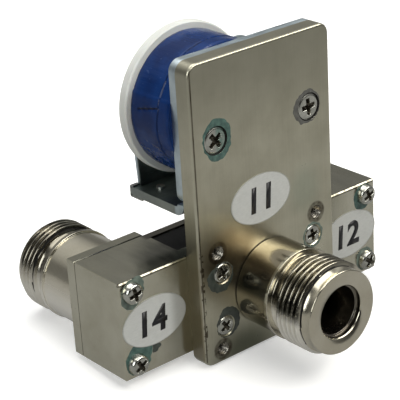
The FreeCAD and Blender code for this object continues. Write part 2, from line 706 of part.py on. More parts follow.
def size_of(text):
    """The number that an expression has now."""
    probe.setExpression("number", sized(text))
    probe.recompute()
    return probe.number


probe = doc.addObject("App::FeaturePython", "Probe")
probe.addProperty("App::PropertyFloat", "number")


def arc_between(start, corner, end):
    """The arc that touches both lines of an even-sided corner."""
    middle = (start + end) / 2
    lean = (middle - start).Length / (corner - start).Length
    return Part.Arc(start, middle + (corner - middle) * (lean / (1 + lean)), end)


def biarc(start, start_way, end, end_way):
    """Two arcs that join two points and keep the direction at each."""
    span = end - start
    square = 2 * start_way.dot(end_way) - 2
    linear = -2 * span.dot(start_way + end_way)
    reach = (-linear - math.sqrt(linear ** 2 - 4 * square * span.dot(span))) / (2 * square)
    first = start + start_way * reach
    second = end - end_way * reach
    meeting = (first + second) / 2
    return [arc_between(start, first, meeting), arc_between(meeting, second, end)]


def least_gap(path, wire, apart):
    """The least space between stretches of one wire that are further apart along it."""
    steps = 400
    points = [path.discretize(steps)[n] for n in range(steps)]
    stride = path.Length / (steps - 1)
    far = int(apart / stride)
    return min(points[n].distanceToPoint(points[m])
               for n in range(steps) for m in range(n + far, steps)) - wire


def make_return_spring():
    """One unbroken wire: upright ends, and open turns made of half-turn arcs."""
    wire = size_of("spring_wire")
    radius = size_of("spring_radius")
    halves = int(2 * size_of("spring_turns"))
    foot = size_of("collar_top + touch_gap")
    head = size_of("shelf_underside - touch_gap")
    low = foot + wire + size_of("spring_bend")
    high = head - wire - size_of("spring_bend")
    climb = (high - low) / halves

    def on_turn(number):
        angle = number * math.pi
        spot = FreeCAD.Vector(radius * math.cos(angle), radius * math.sin(angle),
                              low + climb * number)
        way = FreeCAD.Vector(-radius * math.sin(angle) * math.pi,
                             radius * math.cos(angle) * math.pi, climb)
        return spot, way.normalize()

    def upright(number, side, level):
        angle = number * math.pi + side * 2 * size_of("spring_bend") / radius
        return FreeCAD.Vector(radius * math.cos(angle), radius * math.sin(angle), level)

    bottom = upright(0, -1, foot)
    above_bottom = bottom + Z_AXIS * wire
    top = upright(halves, 1, head)
    below_top = top - Z_AXIS * wire
    curves = [Part.LineSegment(bottom, above_bottom)]
    curves += biarc(above_bottom, Z_AXIS, *on_turn(0))
    for number in range(halves):
        curves += biarc(*on_turn(number), *on_turn(number + 1))
    curves += biarc(*on_turn(halves), below_top, Z_AXIS)
    curves.append(Part.LineSegment(below_top, top))
    path = Part.Wire([curve.toShape() for curve in curves])
    print("return_spring least gap", round(least_gap(path, wire, math.pi * radius), 3))
    corners = [bottom + FreeCAD.Vector(math.cos(n * math.tau / WIRE_SIDES),
                                       math.sin(n * math.tau / WIRE_SIDES), 0) * (wire / 2)
               for n in range(WIRE_SIDES + 1)]
    section = Part.makePolygon(corners)
    solid = path.makePipeShell([section], True, False)
    solid.translate(FreeCAD.Vector(size_of("pusher_span"), size_of("channel_y"), 0))
    thing = doc.addObject("Part::Feature", "spring_wound")
    thing.Shape = solid
    return finish(thing, "return_spring")


def make_yoke():
    leg = block("yoke_leg", ("0 - yoke_half", "yoke_half"), ("body_front", "yoke_back"),
                ("shelf_underside + bend_outside", "yoke_top"))
    leg_top = rounded("yoke_leg_rounded", leg, "plate_corner",
                      lambda edge: runs_along(edge, Y_AXIS) and edge.BoundBox.ZMin > shelf_number())
    shelf = block("yoke_shelf", ("0 - yoke_half", "yoke_half"),
                  ("body_front + bend_outside", "shelf_back"), ("shelf_underside", "shelf_top"))
    centre = ("0 - yoke_half", "body_front + bend_outside", "shelf_underside + bend_outside")
    bend_out = rod("yoke_bend_out", "+X", centre, "bend_outside", "plate_width")
    bend_in = rod("yoke_bend_in", "+X", centre, "yoke_bend_inside", "plate_width")
    corner = block("yoke_bend_corner", ("0 - yoke_half", "yoke_half"),
                   ("body_front", "body_front + bend_outside"),
                   ("shelf_underside", "shelf_underside + bend_outside"))
    quarter = doc.addObject("Part::Common", "yoke_bend_quarter")
    quarter.Base = cut("yoke_bend_ring", bend_out, [bend_in])
    quarter.Tool = corner
    horns = []
    for side, low, high in (("left", "0 - yoke_half", "0 - horn_inner"),
                            ("right", "horn_inner", "yoke_half")):
        bar = block("yoke_horn_" + side, (low, high), ("shelf_back - 1", "horn_reach"),
                    ("shelf_underside", "shelf_top"))
        horns.append(rounded(f"yoke_horn_{side}_end", bar, "horn_round",
                             lambda edge: runs_along(edge, X_AXIS)
                             and edge.BoundBox.YMin > horn_number()))
    whole = joined("yoke_folded", [leg_top, shelf, quarter] + horns)
    tools = [rod("yoke_core_hole", "+Y", ("coil_across", "body_front - 1", "coil_height"),
                 "core_tail_radius + core_fit", "yoke_thickness + 2")]
    for n, (across, up) in enumerate(YOKE_SCREWS):
        tools.append(rod(f"yoke_tap_{n}", "+Y", (across, "body_front - 1", up),
                         "yoke_screw_radius + screw_gap", "yoke_thickness + 2"))
    for side, low, high in (("left", "0 - yoke_half + horn_wall", "0 - horn_inner + 1"),
                            ("right", "horn_inner - 1", "yoke_half - horn_wall")):
        tools.append(rod("yoke_seat_" + side, "+X", (low, "hinge_reach", "hinge_z"),
                         "hinge_pin_radius + hinge_pin_gap", f"({high}) - ({low})"))
        tools.append(block("yoke_seat_mouth_" + side, (low, high), ("hinge_reach", "horn_reach + 1"),
                           ("hinge_z - hinge_pin_radius - hinge_pin_gap",
                            "hinge_z + hinge_pin_radius + hinge_pin_gap")))
        tools.append(rod("yoke_rivet_hole_" + side, "+Z",
                         (f"0 {'-' if side == 'left' else '+'} clip_rivet_across",
                          "clip_rivet_along", "shelf_underside - 1"),
                         "rivet_radius + rivet_gap", "yoke_thickness + 2"))
    return finish(cut("yoke_pierced", whole, tools), "yoke")


def shelf_number():
    return size_of("shelf_top")


def horn_number():
    return size_of("shelf_back")


def make_core():
    pole = rod("core_pole", "+Y", ("coil_across", "coil_front", "coil_height"), "core_radius",
               "pole_face - coil_front")
    tail = rod("core_tail", "+Y", ("coil_across", "body_front + core_fit", "coil_height"),
               "core_tail_radius", "coil_front - body_front - core_fit")
    return finish(joined("core_whole", [pole, tail]), "core")


def make_bobbin():
    front = "coil_front"
    body = new_body("bobbin_turned")
    half = new_sketch(body, "bobbin_section", "XY_Plane")
    outline(half, [
        ("tube_inner", front),
        ("bobbin_front_radius", front),
        ("bobbin_front_radius", f"{front} + bobbin_front_thickness"),
        ("tube_outer", f"{front} + bobbin_front_thickness"),
        ("tube_outer", "bobbin_flange_front"),
        ("bobbin_back_radius", "bobbin_flange_front"),
        ("bobbin_back_radius", "bobbin_back"),
        ("tube_inner", "bobbin_back"),
    ])
    turned = spun(body, "bobbin_revolved", half)
    body.Tip = soften(body, "bobbin_rim", turned, "bobbin_bevel",
                      lambda edge: edge.BoundBox.XLength > size_of("2 * bobbin_front_radius + 1"),
                      "Chamfer")
    place(body, "coil_across", "0", "coil_height")
    right = "coil_across + bobbin_back_radius"
    half_boss = "(lug_spacing / 2 + boss_margin)"
    boss = block("bobbin_boss", (f"{right} - boss_root", f"{right} + boss_reach"),
                 ("bobbin_flange_front", "bobbin_back"),
                 (f"coil_height - {half_boss}", f"coil_height + {half_boss}"))
    slots = [lug_block(f"bobbin_slot_{n}", n, "layer_gap") for n in (0, 1)]
    return finish(cut("bobbin_slotted", joined("bobbin_with_boss", [body, boss]), slots), "bobbin")


def lug_block(name, number, gap):
    """A coil terminal's flat bar, or the slot that holds it."""
    boss_end = "coil_across + bobbin_back_radius + boss_reach"
    middle = f"coil_height {'-' if number == 0 else '+'} lug_spacing / 2"
    layer = "bobbin_flange_front + bobbin_back_thickness / 2"
    return block(name, (f"{boss_end} - lug_root - {gap}", f"{boss_end} + lug_reach"),
                 (f"{layer} - lug_thickness / 2 - {gap}", f"{layer} + lug_thickness / 2 + {gap}"),
                 (f"{middle} - lug_width / 2 - {gap}", f"{middle} + lug_width / 2 + {gap}"))


def make_terminals():
    lugs = []
    for n in (0, 1):
        middle = f"coil_height {'-' if n == 0 else '+'} lug_spacing / 2"
        hole_x = "coil_across + bobbin_back_radius + boss_reach + lug_reach - 2 * lug_hole_radius"
        hole = rod(f"lug_hole_{n}", "+Y", (hole_x, "bobbin_flange_front", middle),
                   "lug_hole_radius", "bobbin_back_thickness")
        lugs.append(cut(f"lug_{n}", lug_block(f"lug_bar_{n}", n, "0"), [hole]))
    return finish(group("lug_pair", lugs), "coil_terminals")


def make_ring_piece(label, inner, outer, front, back):
    """A turned sleeve on the coil's axis."""
    start = ("coil_across", front, "coil_height")
    disc = rod(label + "_disc", "+Y", start, outer, f"({back}) - ({front})")
    hole = rod(label + "_hole", "+Y", start, inner, f"({back}) - ({front})")
    return finish(cut(label + "_sleeve", disc, [hole]), label)


def make_armature():
    lean = "armature_throw"
    rise = f"(armature_rise * cos({lean}))"
    away = f"(armature_rise * sin({lean}))"
    half_y = f"(half_sheet / cos({lean}))"
    slope = f"tan({lean})"
    body = new_body("armature_bent")
    side = new_sketch(body, "armature_section", "YZ_Plane")
    outline(side, [
        ("tongue_tip", "tongue_under"),
        (f"hinge_reach + {half_y} - (hinge_z - tongue_under) * {slope}", "tongue_under"),
        (f"hinge_reach + half_sheet * cos({lean}) + {away}",
         f"hinge_z - half_sheet * sin({lean}) + {rise}"),
        (f"hinge_reach - half_sheet * cos({lean}) + {away}",
         f"hinge_z + half_sheet * sin({lean}) + {rise}"),
        (f"hinge_reach - {half_y} - (hinge_z - tongue_top) * {slope}", "tongue_top"),
        ("tongue_tip", "tongue_top"),
    ])
    sheet_pad = pad(body, "armature_sheet", side, "2 * armature_half", middle=True)
    inner_y = size_of(f"hinge_reach - {half_y} - (hinge_z - tongue_top) * {slope}")
    outer_y = size_of(f"hinge_reach + {half_y} - (hinge_z - tongue_under) * {slope}")
    inner = soften(body, "armature_inner_bend", sheet_pad, "bend_inside",
                   lambda edge: runs_along(edge, X_AXIS) and abs(edge.BoundBox.YMin - inner_y) < NEAR
                   and edge.BoundBox.ZMin < size_of("hinge_z"))
    outer = soften(body, "armature_outer_bend", inner, "bend_inside + half_sheet",
                   lambda edge: runs_along(edge, X_AXIS) and abs(edge.BoundBox.YMin - outer_y) < NEAR
                   and edge.BoundBox.ZMin < size_of("hinge_z"))
    top = size_of("hinge_z + armature_rise / 2")
    crown = soften(body, "armature_crown", outer, "armature_corner",
                   lambda edge: edge.BoundBox.ZMin > top and edge.BoundBox.XLength < NEAR)
    body.Tip = crown
    relief = []
    for name, low, high in (("left", "0 - yoke_half", "0 - pusher_span - tongue_width / 2"),
                            ("right", "0 - pusher_span + tongue_width / 2", "yoke_half")):
        relief.append(block("armature_relief_" + name, (low, high), ("tongue_tip - 1", "heel"),
                            ("tongue_under - 1", "shelf_underside")))
    trimmed = cut("armature_trimmed", body, relief)
    ears = [rod("armature_ear_left", "+X", ("0 - yoke_half + horn_wall + ear_end_gap",
                                            "hinge_reach", "hinge_z"),
                "hinge_pin_radius", "horn_width - horn_wall + armature_side_gap"),
            rod("armature_ear_right", "+X", ("armature_half - ear_end_gap", "hinge_reach", "hinge_z"),
                "hinge_pin_radius", "horn_width - horn_wall + armature_side_gap")]
    return finish(joined("armature_with_ears", [trimmed] + ears), "armature")


def make_clips():
    """Spring clips that close the pivot slots of the horns."""
    clips = []
    for side, sign in (("left", "-"), ("right", "+")):
        def span(near, far):
            if sign == "-":
                return (f"0 - ({far})", f"0 - ({near})")
            return (near, far)
        across = span("horn_inner + touch_gap", "yoke_half")
        lower = block(f"clip_{side}_lower", across, ("clip_start", "clip_back"),
                      ("clip_under", "clip_under + clip_thickness"))
        back = block(f"clip_{side}_back", across, ("clip_back - clip_thickness", "clip_back"),
                     ("clip_under", "clip_top"))
        lip = block(f"clip_{side}_lip", across, ("clip_back - clip_top_length", "clip_back"),
                    ("clip_top - clip_thickness", "clip_top"))
        ear = block(f"clip_{side}_ear", span("clip_ear_inner", "yoke_half - horn_width / 2"),
                    ("clip_ear_front", "clip_ear_back"),
                    ("clip_under", "clip_under + clip_thickness"))
        bent = rounded(f"clip_{side}_bent", joined(f"clip_{side}_folded", [lower, back, lip]),
                       "clip_thickness",
                       lambda edge: runs_along(edge, X_AXIS)
                       and abs(edge.BoundBox.YMax - size_of("clip_back")) < NEAR)
        hole = rod(f"clip_{side}_hole", "+Z",
                   (f"0 {sign} clip_rivet_across", "clip_rivet_along", "clip_under - 1"),
                   "rivet_radius + rivet_gap", "2 + clip_thickness")
        clips.append(cut(f"clip_{side}", joined(f"clip_{side}_whole", [bent, ear]), [hole]))
    return finish(group("clip_pair", clips), "pivot_clips")


def make_clip_rivets():
    rivets = []
    for side, sign in (("left", "-"), ("right", "+")):
        spot = (f"0 {sign} clip_rivet_across", "clip_rivet_along")
        pieces = [
            rod(f"clip_rivet_{side}_foot", "+Z", spot + ("clip_under - rivet_head",),
                "rivet_head_radius", "rivet_head"),
            rod(f"clip_rivet_{side}_shank", "+Z", spot + ("clip_under - rivet_head",),
                "rivet_radius", "shelf_top - clip_under + 2 * rivet_head"),
            rod(f"clip_rivet_{side}_head", "+Z", spot + ("shelf_top",),
                "rivet_head_radius", "rivet_head"),
        ]
        rivets.append(joined(f"clip_rivet_{side}", pieces))
    return finish(group("clip_rivet_pair", rivets), "clip_rivets")


def make_sunk_screws(label, spots, head, shank, length):
    """Countersunk screws whose heads lie flush with the plate."""
    screws = []
    for n, (across, up) in enumerate(spots):
        start = (across, "0", up)
        cone = taper(f"{label}_cone_{n}", "+Y", start, head, shank, f"{head} - {shank}")
        stem = rod(f"{label}_stem_{n}", "+Y", start, shank, length)
        screws.append(joined(f"{label}_{n}", [cone, stem]))
    return finish(group(label + "_set", screws), label)


def make_flange_screws(label, side):
    """Pan-head screws through the RF body into a port flange."""
    screws = []
    for n, (across, up) in enumerate(FLANGE_SCREWS[side]):
        head = rod(f"{label}_head_{n}", "-Y", (across, "body_front", up), "port_screw_head",
                   "port_screw_head_height")
        domed = rounded(f"{label}_dome_{n}", head, "port_screw_head_bevel",
                        lambda edge: edge.BoundBox.YMax < size_of("body_front - port_screw_head_bevel")
                        and edge.BoundBox.XLength > size_of("port_screw_head"), "Chamfer")
        stem = rod(f"{label}_stem_{n}", "+Y", (across, "body_front", up), "port_screw_radius",
                   "body_depth + flange_thickness - flange_wall - tap_gap")
        screws.append(joined(f"{label}_{n}", [domed, stem]))
    return finish(group(label + "_set", screws), label)


def make_label(label, across, face, height):
    """Thin oval label on a face that looks to -Y."""
    oval = doc.addObject("Part::Ellipse", label + "_oval")
    oval.Placement.Rotation = ALONG["-Y"]
    bind(oval, "MajorRadius", "label_half_width")
    bind(oval, "MinorRadius", "label_half_height")
    place(oval, across, face, height)
    sticker = doc.addObject("Part::Extrusion", label + "_sticker")
    sticker.Base = oval
    sticker.DirMode = "Custom"
    sticker.Dir = FreeCAD.Vector(0, -1, 0)
    sticker.Solid = True
    bind(sticker, "LengthFwd", "label_thickness")
    return finish(sticker, label)


make_front_plate()
make_switch_body()
make_pusher_guide()
make_flange("no_flange", "-")
make_flange("nc_flange", "+")
make_shell("com_shell", "com", "plate_thickness", "0", "body_front", FreeCAD.Rotation(Z_AXIS, 180))
make_shell("no_shell", "port", "flange_thickness", "no_port_x", "body_back", FreeCAD.Rotation())
make_shell("nc_shell", "port", "flange_thickness", "nc_port_x", "body_back", FreeCAD.Rotation())
make_bead("com_bead", "0", "body_front", "-", "-Y")
make_bead("no_bead", "no_port_x", "body_back", "+", "+Y")
make_bead("nc_bead", "nc_port_x", "body_back", "+", "+Y")
make_contact("com_contact", "0", "-Y", "channel_back - pin_tuck", "0 - com_reach + pin_recess")
make_contact("no_contact", "no_port_x", "+Y", "channel_front + pin_tuck",
             "flange_back + port_reach - pin_recess")
make_contact("nc_contact", "nc_port_x", "+Y", "channel_front + pin_tuck",
             "flange_back + port_reach - pin_recess")
make_blade()
make_saddle()
make_blade_rivets()
make_press_pusher()
make_spring_pusher()
make_return_spring()
make_yoke()
make_core()
make_bobbin()
make_terminals()
make_ring_piece("coil_winding", "tube_outer + layer_gap", "winding_radius",
                "coil_front + bobbin_front_thickness + layer_gap", "bobbin_flange_front - layer_gap")
make_ring_piece("coil_tape", "winding_radius + layer_gap", "tape_radius", "coil_front",
                "bobbin_flange_front - layer_gap")
make_armature()
make_clips()
make_clip_rivets()
make_sunk_screws("body_screws", BODY_SCREWS, "com_screw_head", "com_screw_radius",
                 "plate_thickness + com_screw_bite")
make_sunk_screws("yoke_screws", YOKE_SCREWS, "yoke_screw_head", "yoke_screw_radius",
                 "yoke_back - touch_gap")
make_flange_screws("no_flange_screws", "-")
make_flange_screws("nc_flange_screws", "+")
make_label("com_label", "com_label_across", "0", "com_label_height")
make_label("no_label", "body_offset - port_label_across", "body_front", "0")
make_label("nc_label", "body_offset + port_label_across", "body_front", "0")

doc.recompute()

for thing in doc.Objects:
    if "Invalid" in thing.State or "Error" in thing.State:
        raise RuntimeError(f"{thing.Name} failed: {thing.State}")
for thing in SUBPARTS:
    if thing.Shape.isNull() or not thing.Shape.isValid():
        raise RuntimeError(f"{thing.Label} has no valid shape")

os.makedirs("parts", exist_ok=True)
for thing in SUBPARTS:
    thing.Shape.exportStep(f"parts/{thing.Label}.step")

for name in ("rest_tilt", "throw_tilt", "armature_throw", "pusher_stroke"):
    print(name, round(size_of(name), 4))
for thing in SUBPARTS:
    print(thing.Label, len(thing.Shape.Solids), "solids,", round(thing.Shape.Volume, 2), "mm3")
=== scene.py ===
"""Looks of a coaxial antenna switch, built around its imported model.

Sizes are millimetres in the model's frame; a mesh turns them into metres when it is made."""

import math

import bmesh
import bpy
from mathutils import Matrix, Vector, noise


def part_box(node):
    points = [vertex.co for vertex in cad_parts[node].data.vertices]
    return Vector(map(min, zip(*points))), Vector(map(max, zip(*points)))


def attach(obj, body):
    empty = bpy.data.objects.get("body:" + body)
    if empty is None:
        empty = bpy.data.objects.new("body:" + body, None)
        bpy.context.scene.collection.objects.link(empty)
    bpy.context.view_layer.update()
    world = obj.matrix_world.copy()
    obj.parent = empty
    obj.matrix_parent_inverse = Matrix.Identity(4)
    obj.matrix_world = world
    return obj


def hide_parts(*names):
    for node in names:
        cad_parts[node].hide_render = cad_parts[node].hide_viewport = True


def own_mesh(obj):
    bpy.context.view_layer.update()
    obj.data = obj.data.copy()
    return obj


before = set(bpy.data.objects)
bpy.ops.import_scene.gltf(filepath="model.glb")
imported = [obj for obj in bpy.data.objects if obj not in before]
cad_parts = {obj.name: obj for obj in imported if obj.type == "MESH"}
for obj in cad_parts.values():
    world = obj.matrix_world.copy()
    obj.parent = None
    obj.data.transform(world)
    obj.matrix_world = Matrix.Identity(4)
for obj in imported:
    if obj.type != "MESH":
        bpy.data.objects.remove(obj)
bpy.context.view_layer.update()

MM = 0.001
FULL_TURN = 2 * math.pi

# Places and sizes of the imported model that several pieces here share
PLATE_BACK = 3.0
FLANGE_FACE = 14.85
FLANGE_THICKNESS = 2.25
BLOCK_MIDDLE = -0.4
PANEL_HOLE = (11.0, 8.8)
LABELS = {"com_label": (-1.25, 15.4), "no_label": (-22.5, 0.0), "nc_label": (21.7, 0.0)}
LABEL_HALVES = (6.5, 4.3)


# Small helpers for meshes

def box_mm(node):
    low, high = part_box(node)
    return low / MM, high / MM


def lerp(first, second, share):
    return first + (second - first) * share


def smooth_step(low, high, value):
    share = min(max((value - low) / (high - low), 0.0), 1.0)
    return share * share * (3 - 2 * share)


def rough_value(x, y, z, size):
    """Noise between -1 and 1 with lumps of about the given size in millimetres."""
    return noise.noise(Vector((x, y, z)) / size)


def angles_round(steps):
    """The angles of one whole turn, in even steps from 0."""
    return [FULL_TURN * step / steps for step in range(steps)]


def on_circle(centre_x, y, centre_z, radius, steps):
    """Points round an axis that runs along Y, anticlockwise from +X."""
    return [(centre_x + radius * math.cos(angle), y, centre_z + radius * math.sin(angle))
            for angle in angles_round(steps)]


def ring_faces(rows, columns, start=0, closed=False):
    """Quads of a grid whose columns go round; closed also joins the last row to the first."""
    faces = []
    for row in range(rows if closed else rows - 1):
        here = start + row * columns
        there = start + (row + 1) % rows * columns
        for column in range(columns):
            after = (column + 1) % columns
            faces.append((here + column, here + after, there + after, there + column))
    return faces


def add_object(name, content):
    """A new object in the scene, for a mesh, a text, a light or a camera."""
    thing = bpy.data.objects.new(name, content)
    bpy.context.scene.collection.objects.link(thing)
    return thing


def show(name, mesh):
    """An object for the mesh, fixed to the frame body."""
    thing = add_object(name, mesh)
    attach(thing, "frame")
    return thing


def make_piece(name, points, faces, materials, stands_for=(), sharp_degrees=35.0,
               indices=None):
    """A closed mesh in millimetres; indices choose each face's material."""
    mesh = bpy.data.meshes.new(name)
    mesh.from_pydata([Vector(point) * MM for point in points], [], faces)
    for material in materials:
        mesh.materials.append(material)
    if indices:
        mesh.polygons.foreach_set("material_index", indices)
    work = bmesh.new()
    work.from_mesh(mesh)
    bmesh.ops.recalc_face_normals(work, faces=work.faces)
    limit = math.radians(sharp_degrees)
    for edge in work.edges:
        edge.smooth = len(edge.link_faces) == 2 and edge.calc_face_angle() < limit
    for face in work.faces:
        face.smooth = True
    work.to_mesh(mesh)
    work.free()
    thing = show(name, mesh)
    if stands_for:
        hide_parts(*stands_for)
    return thing


# Materials

class Graph:
    """A node tree, with short ways to add nodes and join them."""

    def __init__(self, tree):
        self.tree = tree

    def node(self, kind, **settings):
        made = self.tree.nodes.new(kind)
        for key, value in settings.items():
            setattr(made, key, value)
        return made

    def link(self, source, target):
        self.tree.links.new(source, target)

    def ramp(self, source, *stops):
        """stops are (place, value), each value a grey number or an (r, g, b)."""
        ramp = self.node("ShaderNodeValToRGB")
        elements = ramp.color_ramp.elements
        while len(elements) < len(stops):
            elements.new(0.5)
        for element, (spot, value) in zip(elements, stops):
            element.position = spot
            colour = value if isinstance(value, tuple) else (value,) * 3
            element.color = (*colour, 1)
        self.link(source, ramp.inputs["Fac"])
        return ramp.outputs["Color"]

    def math(self, operation, first, second=None):
        made = self.node("ShaderNodeMath", operation=operation)
        for place, value in enumerate((first, second)):
            if value is None:
                continue
            if isinstance(value, (int, float)):
                made.inputs[place].default_value = value
            else:
                self.link(value, made.inputs[place])
        return made.outputs[0]

    def times(self, first, *others):
        for other in others:
            first = self.math("MULTIPLY", first, other)
        return first

    def most(self, first, *others):
        for other in others:
            first = self.math("MAXIMUM", first, other)
        return first

    def spread(self, source, low, high, first=0.0, last=1.0, curve="SMOOTHSTEP"):
        """Goes from first at low to last at high, in metres where source is a coordinate."""
        made = self.node("ShaderNodeMapRange", interpolation_type=curve)
        self.link(source, made.inputs[0])
        for place, value in enumerate((low, high, first, last), 1):
            made.inputs[place].default_value = value
        return made.outputs[0]


class Finish(Graph):
    """A material's node graph, with coordinates in the object's own metres."""

    def __init__(self, name, **sockets):
        self.material = bpy.data.materials.new(name)
        self.material.use_nodes = True
        super().__init__(self.material.node_tree)
        self.shader = self.tree.nodes["Principled BSDF"]
        self.coordinates = self.node("ShaderNodeTexCoord").outputs["Object"]
        for socket, value in sockets.items():
            self.shader.inputs[socket.replace("_", " ")].default_value = value

    def spots(self, lump_mm, detail=4.0, stretch=(1, 1, 1), shift=(0, 0, 0)):
        """Noise with lumps of lump_mm; stretch above 1 draws them out along that axis."""
        mapping = self.node("ShaderNodeMapping")
        self.link(self.coordinates, mapping.inputs["Vector"])
        mapping.inputs["Location"].default_value = shift
        mapping.inputs["Scale"].default_value = [1 / (lump_mm * MM * s) for s in stretch]
        texture = self.node("ShaderNodeTexNoise")
        texture.inputs["Scale"].default_value = 1.0
        texture.inputs["Detail"].default_value = detail
        texture.inputs["Roughness"].default_value = 0.55
        self.link(mapping.outputs["Vector"], texture.inputs["Vector"])
        return texture.outputs["Fac"]

    def mix(self, share, first, second):
        """first where share is 0 and second where it is 1, each a colour."""
        made = self.node("ShaderNodeMix", data_type="RGBA", blend_type="MIX")
        made.clamp_factor = True
        for socket, value in ((made.inputs[0], share), (made.inputs[6], first),
                              (made.inputs[7], second)):
            if isinstance(value, (int, float)):
                socket.default_value = value
            elif isinstance(value, tuple):
                socket.default_value = (*value, 1)
            else:
                self.link(value, socket)
        return made.outputs[2]

    def tint(self, colour, shade, *masks):
        """Lays shade over colour where all the masks meet; a number among them thins it."""
        return self.mix(self.times(*masks), colour, shade)

    def axes(self):
        """The object's coordinates: across to the right, along to the rear, and height."""
        split = self.node("ShaderNodeSeparateXYZ")
        self.link(self.coordinates, split.inputs[0])
        return split.outputs

    def window(self, value, low_mm, high_mm, soft_mm):
        """1 where value is between the two places, fading over soft_mm outside."""
        rise = self.spread(value, (low_mm - soft_mm) * MM, low_mm * MM)
        fall = self.spread(value, (high_mm + soft_mm) * MM, high_mm * MM)
        return self.times(rise, fall)

    def oval(self, plane, spot_mm, sizes_mm, outer, inner):
        """1 inside an oval patch of two coordinates, fading from inner to outer times sizes."""
        parts = []
        for value, place, size in zip(plane, spot_mm, sizes_mm):
            away = self.math("SUBTRACT", value, place * MM)
            away = self.math("DIVIDE", away, size * MM)
            parts.append(self.times(away, away))
        return self.spread(self.math("SQRT", self.math("ADD", *parts)), outer, inner)

    def colour(self, source):
        self.link(source, self.shader.inputs["Base Color"])

    def roughness(self, source):
        self.link(source, self.shader.inputs["Roughness"])

    def bump(self, source, height_mm):
        bump = self.node("ShaderNodeBump")
        bump.inputs["Strength"].default_value = 1.0
        bump.inputs["Distance"].default_value = height_mm * MM
        self.link(source, bump.inputs["Height"])
        self.link(bump.outputs["Normal"], self.shader.inputs["Normal"])


def plated(name, light, dark, rough_low, rough_high, streak=(1, 1, 1), pits=0.0, lump=7.0,
           bump_mm=0.003, change=None):
    """A plated metal with clouded tone, fine streaks along one axis and a few pits.

    change takes the finish and its colour, and returns the colour with the piece's own marks."""
    finish = Finish(name, Metallic=1.0)
    cloud = finish.spots(lump, 5.0)
    streaks = finish.spots(0.35, 3.0, streak)
    grain = finish.spots(0.09, 2.0)
    tone = finish.math("ADD", finish.times(cloud, 0.80), finish.times(streaks, 0.20))
    colour = finish.ramp(tone, (0.36, dark), (0.64, light))
    if pits:
        holes = finish.ramp(finish.spots(0.5, 2.0, shift=(0.3, 0.1, 0.7)),
                            (0.73, 0.0), (0.79, pits))
        colour = finish.mix(holes, colour, tuple(0.25 * c for c in dark))
    if change:
        colour = change(finish, colour)
    finish.colour(colour)
    finish.roughness(finish.ramp(tone, (0.3, rough_high), (0.7, rough_low)))
    height = finish.math("ADD", finish.times(streaks, 0.7), finish.times(grain, 0.3))
    finish.bump(height, bump_mm)
    return finish.material


def moulded(name, light, dark, roughness, bump_mm=0.01, lump=3.0, **sockets):
    """A moulded plastic: faint clouds of colour and a fine satin grain."""
    finish = Finish(name, **sockets)
    cloud = finish.spots(lump, 4.0)
    grain = finish.spots(0.12, 3.0)
    finish.colour(finish.ramp(cloud, (0.35, dark), (0.65, light)))
    finish.roughness(finish.ramp(grain, (0.3, roughness - 0.08), (0.7, roughness + 0.08)))
    finish.bump(grain, bump_mm)
    return finish.material


# Tones laid on the nickel, from pale to nearly black: tarnish, stains and dark marks, and also
# painted light, painted shade and painted dark reflections, as noted where they are used
PAINTED_PALE_LIGHT = (0.84, 0.81, 0.73)
DULL_NICKEL = (0.33, 0.32, 0.25)
BROWN_EDGE = (0.22, 0.17, 0.10)
TARNISH_AND_DARK_REFLECTION = (0.20, 0.155, 0.095)
BROWN_STAIN_AND_SHADOW = (0.12, 0.088, 0.045)
DARK_MARK = (0.07, 0.055, 0.035)
PAINTED_BLACK_REFLECTION = (0.05, 0.05, 0.04)


def plate_marks(finish, colour):
    """The plate's marks: a brown stain by the jack that is also the jack's painted reflection and
    painted shadow, painted shade below the jack, dark pits and a line by its left edge, and a
    dark ring round each panel hole."""
    across, along, height = finish.axes()
    face = (across, height)
    # A brown stain round the jack, together with the jack's painted reflection and painted shadow
    stain = finish.oval(face, (-8.5, 7.5), (8.5, 7.5), 1.15, 0.35)
    clouds = finish.ramp(finish.spots(5.0, 3.0), (0.25, 0.72), (0.75, 0.95))
    colour = finish.tint(colour, BROWN_STAIN_AND_SHADOW, stain, clouds)
    above = finish.spread(height, 0.024, 0.041)
    colour = finish.tint(colour, DULL_NICKEL, above, 0.55)
    side = finish.window(across, -16.0, -14.9, 0.1)
    colour = finish.tint(colour, BROWN_EDGE, side, finish.window(height, -20.0, 2.0, 8.0), 0.6)
    # Painted shade below and left of the front jack
    low = finish.oval(face, (-6.0, -11.0), (9.0, 7.0), 1.2, 0.2)
    colour = finish.tint(colour, (0.13, 0.14, 0.095), low, 0.88)
    green = finish.oval(face, (8.5, 14.0), (5.0, 6.0), 1.0, 0.2)
    colour = finish.tint(colour, (0.40, 0.50, 0.40), green, 0.30)
    broken = finish.ramp(finish.spots(1.6, 3.0, (1, 1, 3)), (0.32, 0.50), (0.58, 0.90))
    line = finish.times(finish.window(across, -14.66, -14.46, 0.07), broken)
    pits = finish.ramp(finish.spots(0.75, 2.0, shift=(0.2, 0.4, 0.1)), (0.52, 0.0), (0.60, 0.9))
    pits = finish.times(pits, finish.window(across, -14.8, -14.15, 0.15),
                        finish.window(height, -8.0, 9.0, 2.0))
    # A dark ring round each panel hole
    quarter = (finish.math("ABSOLUTE", across), finish.math("ABSOLUTE", height))
    rings = finish.ramp(finish.spots(1.2, 2.0), (0.35, 0.45), (0.65, 0.9))
    rings = finish.times(finish.oval(quarter, PANEL_HOLE, (1.0, 1.0), 2.15, 1.75), rings)
    front = finish.window(along, -1.0, 0.06, 0.05)
    return finish.tint(colour, DARK_MARK, finish.most(line, pits, rings), front)


